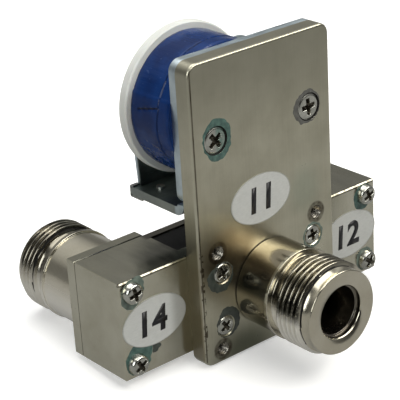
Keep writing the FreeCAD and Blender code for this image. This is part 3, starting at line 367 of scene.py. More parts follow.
def jack_marks(finish, colour):
    """Brown tarnish with a painted dark reflection on the front jack's barrel; painted shade and
    nearly black painted reflections on its thread and on the barrel's left; painted dark
    reflection on the rear threads' tops; and painted pale light on the lower halves of all three
    jacks, which are less metallic there."""
    across, along, height = finish.axes()
    end = (across, height)
    # Brown tarnish on the front jack's barrel, deepened into a painted dark reflection
    barrel = finish.window(along, -7.0, 3.0, 0.4)
    clouds = finish.ramp(finish.spots(2.5, 3.0, (1, 5, 1)), (0.3, 0.35), (0.7, 0.65))
    colour = finish.tint(colour, TARNISH_AND_DARK_REFLECTION, barrel, clouds)
    # Painted nearly black reflection on the barrel's left
    left = finish.oval(end, (-7.2, 3.2), (2.8, 2.6), 1.1, 0.5)
    colour = finish.tint(colour, PAINTED_BLACK_REFLECTION, left, barrel, 0.85)
    # Painted shade over the front thread's upper side, toning down its highlight
    front = finish.window(along, -14.7, -8.0, 0.3)
    upper = finish.oval(end, (-2.0, 8.5), (9.0, 8.0), 1.2, 0.6)
    colour = finish.tint(colour, (0.17, 0.155, 0.12), front, upper, 0.62)
    # Painted nearly black reflection in streaks on the front thread's left
    patch = finish.oval(end, (-7.2, 1.6), (2.4, 2.6), 1.1, 0.6)
    streaks = finish.ramp(finish.spots(1.0, 3.0, (1, 4, 1)), (0.40, 0.45), (0.55, 0.95))
    colour = finish.tint(colour, PAINTED_BLACK_REFLECTION, front, patch, streaks)
    # Painted dark reflection on the upper side of the rear jacks' threads
    rear_threads = finish.window(along, 25.6, 40.0, 0.5)
    colour = finish.tint(colour, (0.13, 0.12, 0.095), rear_threads,
                         finish.spread(height, -0.003, 0.004), 0.7)
    # Painted pale light, standing in for a bright floor's reflection, on the lower sides of the
    # front thread and the rear jacks, which are also made less metallic
    low = finish.times(finish.oval(end, (-4.5, -5.5), (8.0, 6.5), 1.15, 0.8), front)
    rear = finish.times(finish.window(along, 15.0, 40.0, 0.5),
                        finish.spread(height, 0.004, -0.002))
    pale = finish.times(finish.most(low, rear), 0.85)
    duller = finish.math("SUBTRACT", 1.0, finish.times(pale, 0.8))
    finish.link(duller, finish.shader.inputs["Metallic"])
    return finish.tint(colour, PAINTED_PALE_LIGHT, pale)


def block_marks(finish, colour):
    """Dark specks along the block's front edges over an even painted shade that tones down their
    highlight, dirt in the joint with the flanges, painted shade on the rear ledge and beside the
    plate, and a painted dark reflection on the top."""
    across, along, height = finish.axes()
    away = finish.math("ABSOLUTE", finish.math("SUBTRACT", across, BLOCK_MIDDLE * MM))
    # Dark specks on the front edges, over an even painted shade that tones down the edges'
    # highlight
    specks_and_shade = finish.ramp(finish.spots(0.8, 3.0), (0.48, 0.60), (0.60, 0.90))
    edge = finish.times(specks_and_shade, finish.window(along, 2.9, 3.35, 0.1),
                        finish.window(height, 8.2, 8.9, 0.1))
    joint = finish.times(finish.window(along, 14.79, 14.91, 0.09),
                         finish.window(away, 14.45, 40.0, 0.02), 0.9)
    colour = finish.tint(colour, (0.06, 0.05, 0.035), finish.most(edge, joint))
    # Painted shade on the rear ledge under the relay
    colour = finish.tint(colour, (0.07, 0.062, 0.048), finish.window(along, 13.0, 14.62, 0.2),
                         finish.window(away, -1.0, 14.6, 1.0),
                         finish.window(height, 8.5, 9.0, 0.05), 0.8)
    # Painted shade on the block's front face beside the plate
    colour = finish.tint(colour, (0.22, 0.21, 0.15), finish.window(along, 2.8, 3.1, 0.05),
                         finish.spread(away, 0.0225, 0.0155), 0.6)
    # Painted dark reflection on the top, strongest near the plate's left end
    shade = finish.most(finish.oval((across, along), (-15.0, 6.0), (9.0, 9.0), 1.3, 0.3), 0.35)
    streaks = finish.ramp(finish.spots(2.0, 3.0, (1, 4, 4)), (0.35, 0.65), (0.65, 0.95))
    top = finish.window(height, 8.6, 9.3, 0.05)
    return finish.tint(colour, (0.10, 0.10, 0.085), top, streaks, shade)


def screw_marks(finish, colour):
    """A teal film over the right half of the left yoke screw's head."""
    across, along, height = finish.axes()
    film = finish.ramp(finish.spots(1.2, 4.0), (0.35, 0.35), (0.65, 0.8))
    return finish.tint(colour, (0.22, 0.36, 0.31), finish.window(across, -9.7, -7.5, 0.7),
                       finish.window(height, 25.5, 30.6, 0.4), film)


PLAIN = (1, 1, 1)

# Light and dark tones, lowest and highest roughness, then plated's other settings
PLATED = {
    "nickel_plate": ((0.66, 0.635, 0.50), (0.54, 0.515, 0.395), 0.26, 0.38, (1, 1, 30), 0.5,
                     7.0, 0.003, plate_marks),
    "nickel_body": ((0.68, 0.66, 0.54), (0.57, 0.55, 0.43), 0.13, 0.25, (1, 12, 12), 0.7,
                    7.0, 0.002, block_marks),
    "thread_metal": ((0.42, 0.40, 0.34), (0.16, 0.15, 0.13), 0.2, 0.35, PLAIN, 0.5, 1.0),
    # Dark metal in the screws' cross recesses, painted shade
    "recess_shade_metal": ((0.22, 0.20, 0.16), (0.07, 0.065, 0.05), 0.25, 0.45, PLAIN, 0.5, 0.6),
    "nickel_jack": ((0.72, 0.68, 0.56), (0.60, 0.56, 0.44), 0.12, 0.22, PLAIN, 0.0,
                    9.0, 0.002, jack_marks),
    # Darker nickel inside the jacks' bores, painted shade
    "dark_bore": ((0.36, 0.34, 0.285), (0.22, 0.20, 0.17), 0.16, 0.3),
    "screw_steel": ((0.64, 0.64, 0.58), (0.44, 0.44, 0.39), 0.16, 0.30, PLAIN, 0.5,
                    2.0, 0.003, screw_marks),
    "spring_steel": ((0.46, 0.47, 0.46), (0.34, 0.35, 0.34), 0.2, 0.3, PLAIN, 0.3, 1.5),
    "rivet_metal": ((0.60, 0.59, 0.54), (0.42, 0.41, 0.38), 0.25, 0.4, PLAIN, 0.5, 1.5),
    "silvered_contact": ((0.78, 0.75, 0.68), (0.55, 0.50, 0.40), 0.18, 0.3, (10, 1, 1), 0.2,
                         3.0),
    "tinned_brass": ((0.66, 0.64, 0.56), (0.50, 0.46, 0.36), 0.25, 0.4, PLAIN, 0.3, 2.0),
}

# Light and dark tones, then moulded's other settings
MOULDED = {
    "black_plastic": ((0.010, 0.010, 0.010), (0.005, 0.005, 0.005), 0.5),
    "white_plastic": ((0.70, 0.705, 0.66), (0.63, 0.635, 0.59), 0.5, 0.012, 6.0),
    # Near-black grime, also used as painted shade round and under the screw heads and, with dirt,
    # in the jacks' thread grooves
    "grime": ((0.012, 0.011, 0.009), (0.004, 0.004, 0.003), 0.6, 0.01, 0.6),
    "ptfe": ((0.86, 0.86, 0.84), (0.80, 0.80, 0.77), 0.42),
    "ink": ((0.012, 0.012, 0.013), (0.006, 0.006, 0.007), 0.4),
}
MOULDED_SOCKETS = {
    "black_plastic": {"Specular_IOR_Level": 0.2},
    "white_plastic": {"Subsurface_Weight": 0.05},
    "grime": {"Specular_IOR_Level": 0.15},
}

# Light and dark tones of the dried screw varnish
LOCKERS = {
    "locker_teal": ((0.085, 0.165, 0.135), (0.03, 0.07, 0.06)),
    "locker_grey": ((0.13, 0.13, 0.115), (0.06, 0.06, 0.052)),
    "locker_dark": ((0.05, 0.06, 0.048), (0.02, 0.026, 0.021)),
    "locker_pale": ((0.17, 0.22, 0.18), (0.08, 0.11, 0.09)),
}


def zinc_finish():
    """Bluish zinc on the sheet's cut edges; the faces inside the relay are dark."""
    finish = Finish("zinc_steel", Metallic=1.0)
    cloud = finish.spots(5.0, 4.0)
    scratches = finish.spots(0.5, 3.0, (9, 1, 1))
    light = finish.ramp(cloud, (0.35, (0.42, 0.50, 0.54)), (0.65, (0.64, 0.73, 0.77)))
    dark = finish.ramp(cloud, (0.35, (0.15, 0.18, 0.17)), (0.65, (0.26, 0.30, 0.28)))
    dull = finish.ramp(cloud, (0.35, (0.26, 0.29, 0.28)), (0.65, (0.36, 0.39, 0.37)))
    across, along, height = finish.axes()
    # The armature leans at rest, so its face follows the height by this share
    lean = 0.039
    upright = finish.math("SUBTRACT", along, finish.times(height, lean))
    inner = finish.times(finish.window(across, -14.85, 14.85, 0.1),
                         finish.window(upright, 4.46, 15.72, 0.03),
                         finish.window(height, -60.0, 41.4, 0.1))
    worn = finish.times(inner, finish.ramp(scratches, (0.60, 1.0), (0.72, 0.35)))
    shelf = finish.times(finish.window(height, -60.0, 17.1, 0.3),
                         finish.window(along, 5.5, 60.0, 0.5))
    finish.colour(finish.mix(worn, finish.mix(shelf, light, dull), dark))
    finish.roughness(finish.ramp(scratches, (0.3, 0.45), (0.7, 0.28)))
    finish.bump(scratches, 0.01)
    return finish.material


def copper_finish():
    """Enamelled wire, with its turns as fine bands."""
    finish = Finish("copper_wire", Metallic=1.0)
    turns = finish.node("ShaderNodeTexWave", wave_type="BANDS", bands_direction="Y")
    turns.inputs["Scale"].default_value = 900.0
    turns.inputs["Distortion"].default_value = 0.4
    finish.link(finish.coordinates, turns.inputs["Vector"])
    cloud = finish.spots(2.0)
    finish.colour(finish.mix(cloud, (0.42, 0.14, 0.05), (0.65, 0.27, 0.11)))
    finish.roughness(finish.ramp(cloud, (0.3, 0.25), (0.7, 0.4)))
    finish.bump(turns.outputs["Fac"], 0.08)
    return finish.material


def tape_finish():
    """Glossy blue film: broad tone changes, drawn-out wrinkles, small scuffs, a dark line along
    its wrap edge and painted shade in a crease.
    """
    finish = Finish("blue_tape", Specular_IOR_Level=0.22)
    broad = finish.spots(6.0, 3.0)
    wrinkles = finish.spots(0.9, 3.0, (1, 9, 1.5))
    scuffs = finish.ramp(finish.spots(0.35, 3.0, (1, 3, 5)), (0.66, 0.0), (0.74, 0.25))
    base = finish.ramp(broad, (0.35, (0.002, 0.015, 0.076)), (0.65, (0.004, 0.031, 0.142)))
    across, along, height = finish.axes()
    wander = finish.times(finish.spots(4.0, 3.0), 1.4 * MM)
    seam = finish.window(finish.math("ADD", along, wander), 7.83, 7.97, 0.07)
    slope = finish.math("ADD", height, finish.times(along, 0.224))
    crease = finish.times(finish.window(slope, 34.70, 34.92, 0.12),
                          finish.window(along, 7.3, 12.1, 0.2),
                          finish.window(across, -17.0, -13.0, 0.5))
    colour = finish.mix(scuffs, base, (0.10, 0.16, 0.33))
    # A dark line along the film's wrap edge, and painted shade in its crease
    dark = finish.most(finish.times(seam, 0.6), crease)
    finish.colour(finish.tint(colour, (0.002, 0.005, 0.02), dark, 0.85))
    finish.roughness(finish.ramp(wrinkles, (0.35, 0.14), (0.65, 0.26)))
    finish.bump(wrinkles, 0.10)
    return finish.material


def label_finish(name, spot):
    """Satin paper film with fibres, faint dirt, a darker rim and a painted shadow of the plate.
    """
    finish = Finish(name)
    fibres = finish.spots(0.25, 4.0, (2.5, 1, 1))
    dirt = finish.ramp(finish.spots(4.0, 4.0), (0.58, 0.0), (0.78, 0.4))
    across, along, height = finish.axes()
    colour = finish.ramp(fibres, (0.3, (0.55, 0.56, 0.53)), (0.7, (0.61, 0.62, 0.59)))
    colour = finish.tint(colour, (0.45, 0.45, 0.41), dirt)
    # Painted shadow of the plate on the label beside it
    plate_shadow = finish.window(across, -17.6, -15.0, 2.2)
    colour = finish.tint(colour, (0.24, 0.24, 0.21), plate_shadow, 0.6)
    rim = finish.oval((across, height), spot, LABEL_HALVES, 0.955, 0.99)
    finish.colour(finish.tint(colour, (0.20, 0.20, 0.17), rim, 0.55))
    finish.roughness(finish.ramp(fibres, (0.3, 0.38), (0.7, 0.5)))
    finish.bump(fibres, 0.008)
    return finish.material


def locker_finish(name, light, dark):
    """Dried screw varnish: uneven, thin at the rim and slightly glossy."""
    finish = Finish(name, Coat_Weight=0.3, Coat_Roughness=0.2)
    cloud = finish.spots(0.9, 5.0)
    fine = finish.spots(0.15, 3.0)
    finish.colour(finish.ramp(cloud, (0.34, dark), (0.66, light)))
    finish.roughness(finish.ramp(fine, (0.3, 0.28), (0.7, 0.5)))
    finish.bump(fine, 0.02)
    return finish.material


finishes = {name: plated(name, *row) for name, row in PLATED.items()}
for name, row in MOULDED.items():
    finishes[name] = moulded(name, *row, **MOULDED_SOCKETS.get(name, {}))
for name, tones in LOCKERS.items():
    finishes[name] = locker_finish(name, *tones)
for name, place in LABELS.items():
    finishes[name] = label_finish(name + "_film", place)
finishes["zinc_steel"] = zinc_finish()
finishes["copper_wire"] = copper_finish()
finishes["blue_tape"] = tape_finish()

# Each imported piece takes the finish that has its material's name, and each label its own film
for node_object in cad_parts.values():
    for holder in node_object.material_slots:
        key = holder.material.name.split(".")[0]
        if node_object.name in LABELS:
            key = node_object.name
        holder.material = finishes.get(key, holder.material)


# Jack shells with a cut thread

# Radii, as packed; the thread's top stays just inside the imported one
BARREL = 7.65
THREAD_TOP = 7.93
RELIEF = 6.9
NOSE = 7.2
MOUTH = 4.47
SLEEVE = 4.15
LINE = 3.5
SPIGOT = 7.0

# Radius of the fine groove where the barrel meets its plate or flange
SEAM = 7.5
MOUTH_BEVEL = 0.34
MOUTH_DEPTH = 1.2
SLEEVE_DEPTH = 9.0

# The 5/8-24 thread; its flats are shares of the pitch that the crest and the root take
PITCH = 1.058
THREAD_DEPTH = 0.62
THREAD_CHAMFER = 0.45
CREST_FLAT = 0.24
ROOT_FLAT = 0.22

# How deep into a groove the bare metal reaches before the dark of dirt and painted shade, in the
# lower and upper half of the thread
METAL_DEPTH_BELOW = 0.88
METAL_DEPTH_ABOVE = 0.64

# Fineness of the mesh, the rounding of corners, and the support row beside each corner
AROUND = 144
ROWS_PER_PITCH = 14
SHELL_EASE = 0.12
NOSE_EASE = 0.22
EASE_STEPS = 4
SUPPORT = 0.03
# Material slots: nickel, painted shade inside the bore, and grime in the seam and the thread
# grooves, there also painted shade
METAL, PAINTED_BORE_SHADE, GRIME_AND_SHADE = 0, 1, 2


def tooth(share):
    """Depth of the groove, 0 at a crest and 1 at the root, for a place along one pitch."""
    inward = 1 - abs((share % 1.0) - 0.5) * 2
    return min(max((inward - CREST_FLAT) / (1 - CREST_FLAT - ROOT_FLAT), 0.0), 1.0)


def eased(profile, size):
    """Rounds each corner of an open line of (radius, place) points, with support beside it."""
    line = [profile[0]]
    for before, corner, after in zip(profile, profile[1:], profile[2:]):
        corner = Vector(corner)
        back = Vector(before) - corner
        ahead = Vector(after) - corner
        first = corner + back.normalized() * min(size, 0.4 * back.length)
        last = corner + ahead.normalized() * min(size, 0.4 * ahead.length)
        line.append(tuple(first + back.normalized() * SUPPORT))
        for step in range(EASE_STEPS + 1):
            share = step / EASE_STEPS
            line.append(tuple(first * (1 - share) ** 2 + corner * 2 * share * (1 - share)
                              + last * share ** 2))
        line.append(tuple(last + ahead.normalized() * SUPPORT))
    line.append(profile[-1])
    return line


def make_shell(node, seat, way, lengths, panel):
    """The turned jack at a CAD node, as rows of circles that run once round its section.

    Places count from seat, along -Y or +Y by way. lengths are barrel, ridge, relief, thread
    and nose, and panel is the thickness of the plate or flange that holds the spigot."""
    low, high = box_mm(node)
    centre_x, centre_z = (low.x + high.x) / 2, (low.z + high.z) / 2
    stations = [panel]
    for length in lengths:
        stations.append(stations[-1] + length)
    barrel, ridge, relief, thread, face = stations[1:]
    inner = [(SEAM, panel), (SEAM, panel + 0.05), (BARREL, panel + 0.17)] + eased(
        [(BARREL, panel + 0.2), (BARREL, barrel), (THREAD_TOP, barrel), (THREAD_TOP, ridge),
         (RELIEF, ridge), (RELIEF, relief)], SHELL_EASE)
    lip = (MOUTH + MOUTH_BEVEL, face)
    outer = eased([(NOSE, thread), (NOSE, face), lip], NOSE_EASE)
    outer += eased([lip, (MOUTH, face - MOUTH_BEVEL), (MOUTH, face - MOUTH_DEPTH),
                    (SLEEVE, face - MOUTH_DEPTH), (SLEEVE, face - SLEEVE_DEPTH),
                    (LINE, face - SLEEVE_DEPTH), (LINE, 0.0), (SPIGOT, 0.0), (SPIGOT, panel),
                    (SEAM, panel)], SHELL_EASE)[1:-1]
    rows = [(radius, place, False) for radius, place in inner]
    steps = int((thread - relief) / PITCH * ROWS_PER_PITCH)
    for step in range(1, steps):
        rows.append((THREAD_TOP, lerp(relief, thread, step / steps), True))
    rows += [(radius, place, False) for radius, place in outer]
    points, dark_grooves = [], set()
    for row, (radius, place, cut) in enumerate(rows):
        for column, angle in enumerate(angles_round(AROUND)):
            out = radius
            if cut:
                groove = tooth(place / PITCH - way * angle / FULL_TURN)
                upper = smooth_step(-0.1, 0.5, math.sin(angle))
                if groove > lerp(METAL_DEPTH_BELOW, METAL_DEPTH_ABOVE, upper):
                    dark_grooves.add((row, column))
                out = min(radius - THREAD_DEPTH * groove,
                          RELIEF + (place - relief) * (THREAD_TOP - RELIEF) / THREAD_CHAMFER,
                          NOSE + (thread - place) * (THREAD_TOP - NOSE) / THREAD_CHAMFER)
            points.append((centre_x + out * math.cos(angle), seat + way * place,
                           centre_z + out * math.sin(angle)))
    # Rows inside the bore take painted shade
    bore = {row for row, (radius, place, cut) in enumerate(rows)
            if not cut and (radius < MOUTH + 0.01 and place < face - 0.2)}
    indices = []
    for row in range(len(rows)):
        if row < 2:
            indices += [GRIME_AND_SHADE] * AROUND
        elif row in bore and (row + 1) % len(rows) in bore:
            indices += [PAINTED_BORE_SHADE] * AROUND
        else:
            indices += [GRIME_AND_SHADE if (row, column) in dark_grooves else METAL for column in range(AROUND)]
    make_piece(node + "_turned", points, ring_faces(len(rows), AROUND, closed=True),
               [finishes["nickel_jack"], finishes["dark_bore"], finishes["grime"]],
               stands_for=(node,), sharp_degrees=75.0, indices=indices)


make_shell("com_shell", PLATE_BACK, -1, (7.0, 0.8, 1.6, 5.8, 1.85), PLATE_BACK)
for node in ("no_shell", "nc_shell"):
    make_shell(node, FLANGE_FACE, 1, (8.1, 0.8, 2.0, 4.4, 0.9), FLANGE_THICKNESS)


# Screws with a cross recess

HEAD_RINGS = 30
HEAD_AROUND = 96

# The cross, in head radii: an arm's length and half width, and the depth at its two ends
ARM, ARM_HALF = 0.62, 0.16
CROSS_MIDDLE, CROSS_END = 0.55, 0.30
# Material slots: steel, painted shade in the gap round a sunk head and under the heads, and
# painted shade in the cross recess
STEEL, PAINTED_RIM_SHADE, PAINTED_RECESS_SHADE = 0, 1, 2


def cross_depth(x, z, radius, turned):
    """How deep the cross recess is at a place on the head, in head radii."""
    across = x * math.cos(turned) + z * math.sin(turned)
    along = -x * math.sin(turned) + z * math.cos(turned)
    across, along = abs(across) / radius, abs(along) / radius
    first = max(across - ARM, along - ARM_HALF)
    second = max(along - ARM, across - ARM_HALF)
    inside = smooth_step(0.05, -0.05, min(first, second))
    return inside * lerp(CROSS_MIDDLE, CROSS_END, min(math.hypot(across, along) / ARM, 1.0))


def add_screw(points, faces, indices, spot, face_y, end_y, size, dome, under, turned):
    """One screw looking along -Y: head of rings round the middle, underside and shank."""
    x, z = spot
    radius, shank = size
    start = len(points)
    for ring in range(1, HEAD_RINGS + 1):
        out = radius * ring / HEAD_RINGS
        for angle in angles_round(HEAD_AROUND):
            dx, dz = out * math.cos(angle), out * math.sin(angle)
            depth = cross_depth(dx, dz, radius, turned) * radius
            points.append((x + dx, face_y - dome(out) + depth, z + dz))
            if ring == HEAD_RINGS:
                indices.append(PAINTED_RIM_SHADE)
            else:
                indices.append(PAINTED_RECESS_SHADE if depth > 0.12 * radius else STEEL)
    rows = HEAD_RINGS
    for out, y in under(radius, shank, face_y) + [(shank, end_y)]:
        points += on_circle(x, y, z, out, HEAD_AROUND)
        rows += 1
    faces += ring_faces(rows, HEAD_AROUND, start)
    indices += [PAINTED_RIM_SHADE] * (HEAD_AROUND * (rows - 1 - HEAD_RINGS))
    indices += [PAINTED_RECESS_SHADE, PAINTED_RIM_SHADE] * HEAD_AROUND
    middle = len(points)
    points.append((x, face_y - dome(0.0) + CROSS_MIDDLE * radius, z))
    points.append((x, end_y, z))
    last = start + (rows - 1) * HEAD_AROUND
    for column in range(HEAD_AROUND):
        after = (column + 1) % HEAD_AROUND
        faces.append((middle, start + after, start + column))
        faces.append((middle + 1, last + column, last + after))


def sunk_under(radius, shank, face_y):
    """A dark fill in the gap round a sunk head, painted shade, then the cone under it."""
    rim = radius * 1.10
    return [(radius + 0.01, face_y + 0.20), (rim, 0.03), (rim, 0.10),
            (shank, 0.10 + rim - shank)]


def pan_under(radius, shank, face_y):
    """The flat underside of a pan head."""
    return [(radius, face_y), (shank, face_y)]


def make_screws(node, spots, face_y, size, dome, under, turns):
    """The screws of one node. size is head and shank radius; turns are the crosses' degrees."""
    end_y = box_mm(node)[1].y
    points, faces, indices = [], [], []
    for spot, turned in zip(spots, turns):
        add_screw(points, faces, indices, spot, face_y, end_y, size, dome, under,
                  math.radians(turned))
    # Steel, then the grime material as painted shade round and under each head, then the dark
    # recess metal as painted shade in the cross
    make_piece(node + "_detailed", points, faces,
               [finishes["screw_steel"], finishes["grime"], finishes["recess_shade_metal"]],
               stands_for=(node,), sharp_degrees=45.0, indices=indices)


def flat_dome(radius, rise):
    """A nearly flat head with a rounded rim."""
    def dome(out):
        share = out / radius
        return rise * (1 - share * share) - 0.12 * smooth_step(0.86, 1.0, share)
    return dome


def pan_dome(radius, height):
    """A head that falls slowly to a steep rounded rim."""
    def dome(out):
        share = min(out / radius, 1.0)
        return height * (1 - 0.08 * share * share) * (1 - share ** 9.0) ** 0.5
    return dome


BODY_SCREWS = [(-10.1, 4.85), (-10.1, -4.85), (10.1, 4.85), (10.1, -4.85)]
YOKE_SCREWS = [(-10.1, 28.1), (10.1, 28.1)]
NO_SCREWS = [(-26.6, 6.45), (-26.6, -6.45)]
NC_SCREWS = [(25.8, 6.45), (25.8, -6.45)]

# Head and shank radii of the three kinds of screw
BODY_SIZE = (1.74, 0.95)
YOKE_SIZE = (2.2, 1.2)
FLANGE_SIZE = (1.85, 0.95)

make_screws("body_screws", BODY_SCREWS, 0.06, BODY_SIZE, flat_dome(BODY_SIZE[0], 0.16),
            sunk_under, (20, 35, 10, 50))
make_screws("yoke_screws", YOKE_SCREWS, 0.05, YOKE_SIZE, flat_dome(YOKE_SIZE[0], 0.06),
            sunk_under, (40, 5))
for node, spots, turns in (("no_flange_screws", NO_SCREWS, (12, 30)),
                           ("nc_flange_screws", NC_SCREWS, (25, 55))):
    make_screws(node, spots, PLATE_BACK, FLANGE_SIZE, pan_dome(FLANGE_SIZE[0], 1.28),
                pan_under, turns)


# Dried screw varnish round the heads

SMEAR_RINGS = 10
SMEAR_AROUND = 96


def make_smear(name, spot, face_y, inner, radius, shares, finish, thickness):
    """A thin uneven patch round a screw. shares spaces its outer radii evenly round the turn,
    anticlockwise from +X, each counted in radius."""
    points = []
    count = len(shares)
    reaches = [radius * share for share in shares]
    for ring in range(SMEAR_RINGS + 1):
        for angle in angles_round(SMEAR_AROUND):
            place = angle / FULL_TURN * count
            first, second = reaches[int(place) % count], reaches[(int(place) + 1) % count]
            share = place - int(place)
            reach = lerp(first, second, (1 - math.cos(math.pi * share)) / 2)
            x, z = math.cos(angle), math.sin(angle)
            reach *= 1 + 0.07 * rough_value(spot[0] + 5 * x, 0, spot[1] + 5 * z, 1.1)
            reach = max(reach, inner + 0.02)
            out = lerp(inner, reach, ring / SMEAR_RINGS)
            fall = 1 - (ring / SMEAR_RINGS) ** 2
            lift = thickness * (0.25 + 0.75 * fall) * (1 + 0.5 * rough_value(
                spot[0] + out * x, 3, spot[1] + out * z, 0.5))
            points.append((spot[0] + out * x, face_y - (lift if ring < SMEAR_RINGS else 0),
                           spot[1] + out * z))
    rows = SMEAR_RINGS + 1
    for ring in (SMEAR_RINGS, 0):
        for column in range(SMEAR_AROUND):
            x, y, z = points[ring * SMEAR_AROUND + column]
            points.append((x, face_y + 0.01, z))
        rows += 1
    make_piece(name, points, ring_faces(rows, SMEAR_AROUND, closed=True), [finishes[finish]],
               sharp_degrees=60.0)


# Name, middle, face, inner radius, radius that the shares count in, shares, finish, thickness
SMEARS = (
    ("yoke_varnish_left", YOKE_SCREWS[0], 0.0, 2.42, 2.45,
     (1.32, 1.45, 1.5, 1.25, 1.08, 1.12, 1.45, 1.42), "locker_teal", 0.05),
    ("yoke_varnish_right", YOKE_SCREWS[1], 0.0, 2.42, 2.45,
     (1.02, 1.12, 1.28, 1.3, 1.42, 1.3, 1.1, 1.03), "locker_grey", 0.03),
    ("body_varnish_upper_left", BODY_SCREWS[0], 0.0, 1.9, 1.9,
     (1.12, 1.05, 1.05, 1.2, 1.85, 1.8, 1.7, 1.3), "locker_dark", 0.05),
    ("body_varnish_lower_left", BODY_SCREWS[1], 0.0, 1.9, 1.9,
     (1.6, 1.8, 1.75, 1.2, 1.03, 1.05, 1.1, 1.3), "locker_dark", 0.05),
    ("body_varnish_upper_right", BODY_SCREWS[2], 0.0, 1.9, 1.9,
     (1.22, 1.2, 1.25, 1.15, 1.15, 1.2, 1.3, 1.25), "locker_pale", 0.05),
    ("body_varnish_lower_right", BODY_SCREWS[3], 0.0, 1.9, 1.9,
     (1.3, 1.15, 1.1, 1.2, 1.4, 1.3, 1.15, 1.2), "locker_pale", 0.05),
    ("no_varnish_upper", NO_SCREWS[0], PLATE_BACK, 1.7, 1.9,
     (1.35, 1.6, 1.2, 1.02, 1.05, 1.4, 1.6, 1.2), "locker_pale", 0.03),
    ("no_varnish_lower", NO_SCREWS[1], PLATE_BACK, 1.7, 1.9,
     (1.5, 2.2, 1.8, 1.4, 1.1, 1.05, 1.02, 1.02), "locker_teal", 0.04),
    ("no_varnish_spot", (-22.5, -4.9), PLATE_BACK, 0.05, 0.9,
     (1.1, 0.9, 1.3, 1.0, 0.8, 1.2, 1.0, 0.7), "locker_dark", 0.03),
    ("nc_varnish_upper", NC_SCREWS[0], PLATE_BACK, 1.7, 1.9,
     (1.02, 1.02, 1.05, 1.2, 1.4, 1.6, 1.45, 1.1), "locker_teal", 0.04),
    ("nc_varnish_lower", NC_SCREWS[1], PLATE_BACK, 1.7, 1.9,
     (1.02, 1.1, 1.3, 1.35, 1.2, 1.1, 1.02, 1.02), "locker_pale", 0.03),
)
for smear in SMEARS:
    make_smear(*smear)


# Threads inside the panel holes

PANEL_HOLES = [(x * PANEL_HOLE[0], z * PANEL_HOLE[1]) for x in (-1, 1) for z in (1, -1)]
HOLE_PITCH = 0.5
HOLE_OUTER = 1.245
HOLE_RIDGE = 0.22
HOLE_RUN_OUT = 0.35
HOLE_ENDS = (0.05, 2.95)
HOLE_AROUND = 48
ROWS_PER_TURN = 10


def make_hole_threads():
    """One sleeve in each panel hole, with a ridge that winds up its inside."""
    first_y, last_y = HOLE_ENDS
    points, faces = [], []
    steps = int((last_y - first_y) / HOLE_PITCH * ROWS_PER_TURN)
    for x, z in PANEL_HOLES:
        start = len(points)
        for step in range(steps + 1):
            y = lerp(first_y, last_y, step / steps)
            ends = min(smooth_step(first_y, first_y + HOLE_RUN_OUT, y),
                       smooth_step(last_y, last_y - HOLE_RUN_OUT, y))
            for angle in angles_round(HOLE_AROUND):
                share = (y / HOLE_PITCH - angle / FULL_TURN) % 1.0
                ridge = HOLE_RIDGE * (1 - abs(share - 0.5) * 2)
                out = HOLE_OUTER - 0.01 - ridge * ends
                points.append((x + out * math.cos(angle), y, z + out * math.sin(angle)))
        for y in (last_y, first_y):
            points += on_circle(x, y, z, HOLE_OUTER, HOLE_AROUND)
        faces += ring_faces(steps + 3, HOLE_AROUND, start, closed=True)
    make_piece("panel_hole_threads", points, faces, [finishes["thread_metal"]],
               sharp_degrees=50.0)


make_hole_threads()


# Blue tape round the coil

TAPE_AROUND = 240
TAPE_ROWS = 110
TAPE_RADIUS = 11.72
TAPE_LIMIT = 11.9

# Where the film's loose end lies round the coil, and where its front layer ends along it
TAPE_END = math.radians(158)
TAPE_SEAM = 7.2

# The film also covers the bobbin's front flange: radius over it, and reach over its face
TAPE_FRONT_INNER = 11.22
TAPE_LIP = 10.4


def tape_radius(angle, y, front, back):
    """Radius of the wrapped film: overlaps, folds towards the front and the loose end."""
    share = (y - front) / (back - front)
    x, z = math.cos(angle), math.sin(angle)
    slack = 0.05 * rough_value(11 * x, 0.35 * y, 11 * z, 2.6)
    low_side = smooth_step(-0.1, -0.75, z)
    folds = abs(rough_value(16 * x, 0.22 * y, 16 * z, 0.9))
    gathers = -0.42 * low_side * smooth_step(0.16, 0.0, folds) * smooth_step(1.0, 0.45, share)
    wander = y + 0.5 * rough_value(3 * x, 2, 3 * z, 1.0)
    wrap = -0.09 * smooth_step(TAPE_SEAM + 0.25, TAPE_SEAM + 0.05, wander)
    wrap -= 0.10 * smooth_step(0.16, 0.0, abs(wander - TAPE_SEAM))
    crease_angle = math.radians(166 + 1.122 * (y - TAPE_SEAM))
    crease = -0.2 * smooth_step(0.022, 0.0, abs(angle - crease_angle))
    crease *= smooth_step(TAPE_SEAM - 0.2, TAPE_SEAM + 0.2, y) * smooth_step(12.3, 11.9, y)
    beyond = (angle - TAPE_END) % FULL_TURN
    step = 0.10 * smooth_step(2.6, 0.0, beyond) + 0.05 * smooth_step(0.10, 0.0, beyond)
    edge = -0.10 * (smooth_step(0.06, 0.0, share) + smooth_step(0.94, 1.0, share))
    return min(TAPE_RADIUS + slack + gathers + wrap + crease + step + edge, TAPE_LIMIT)


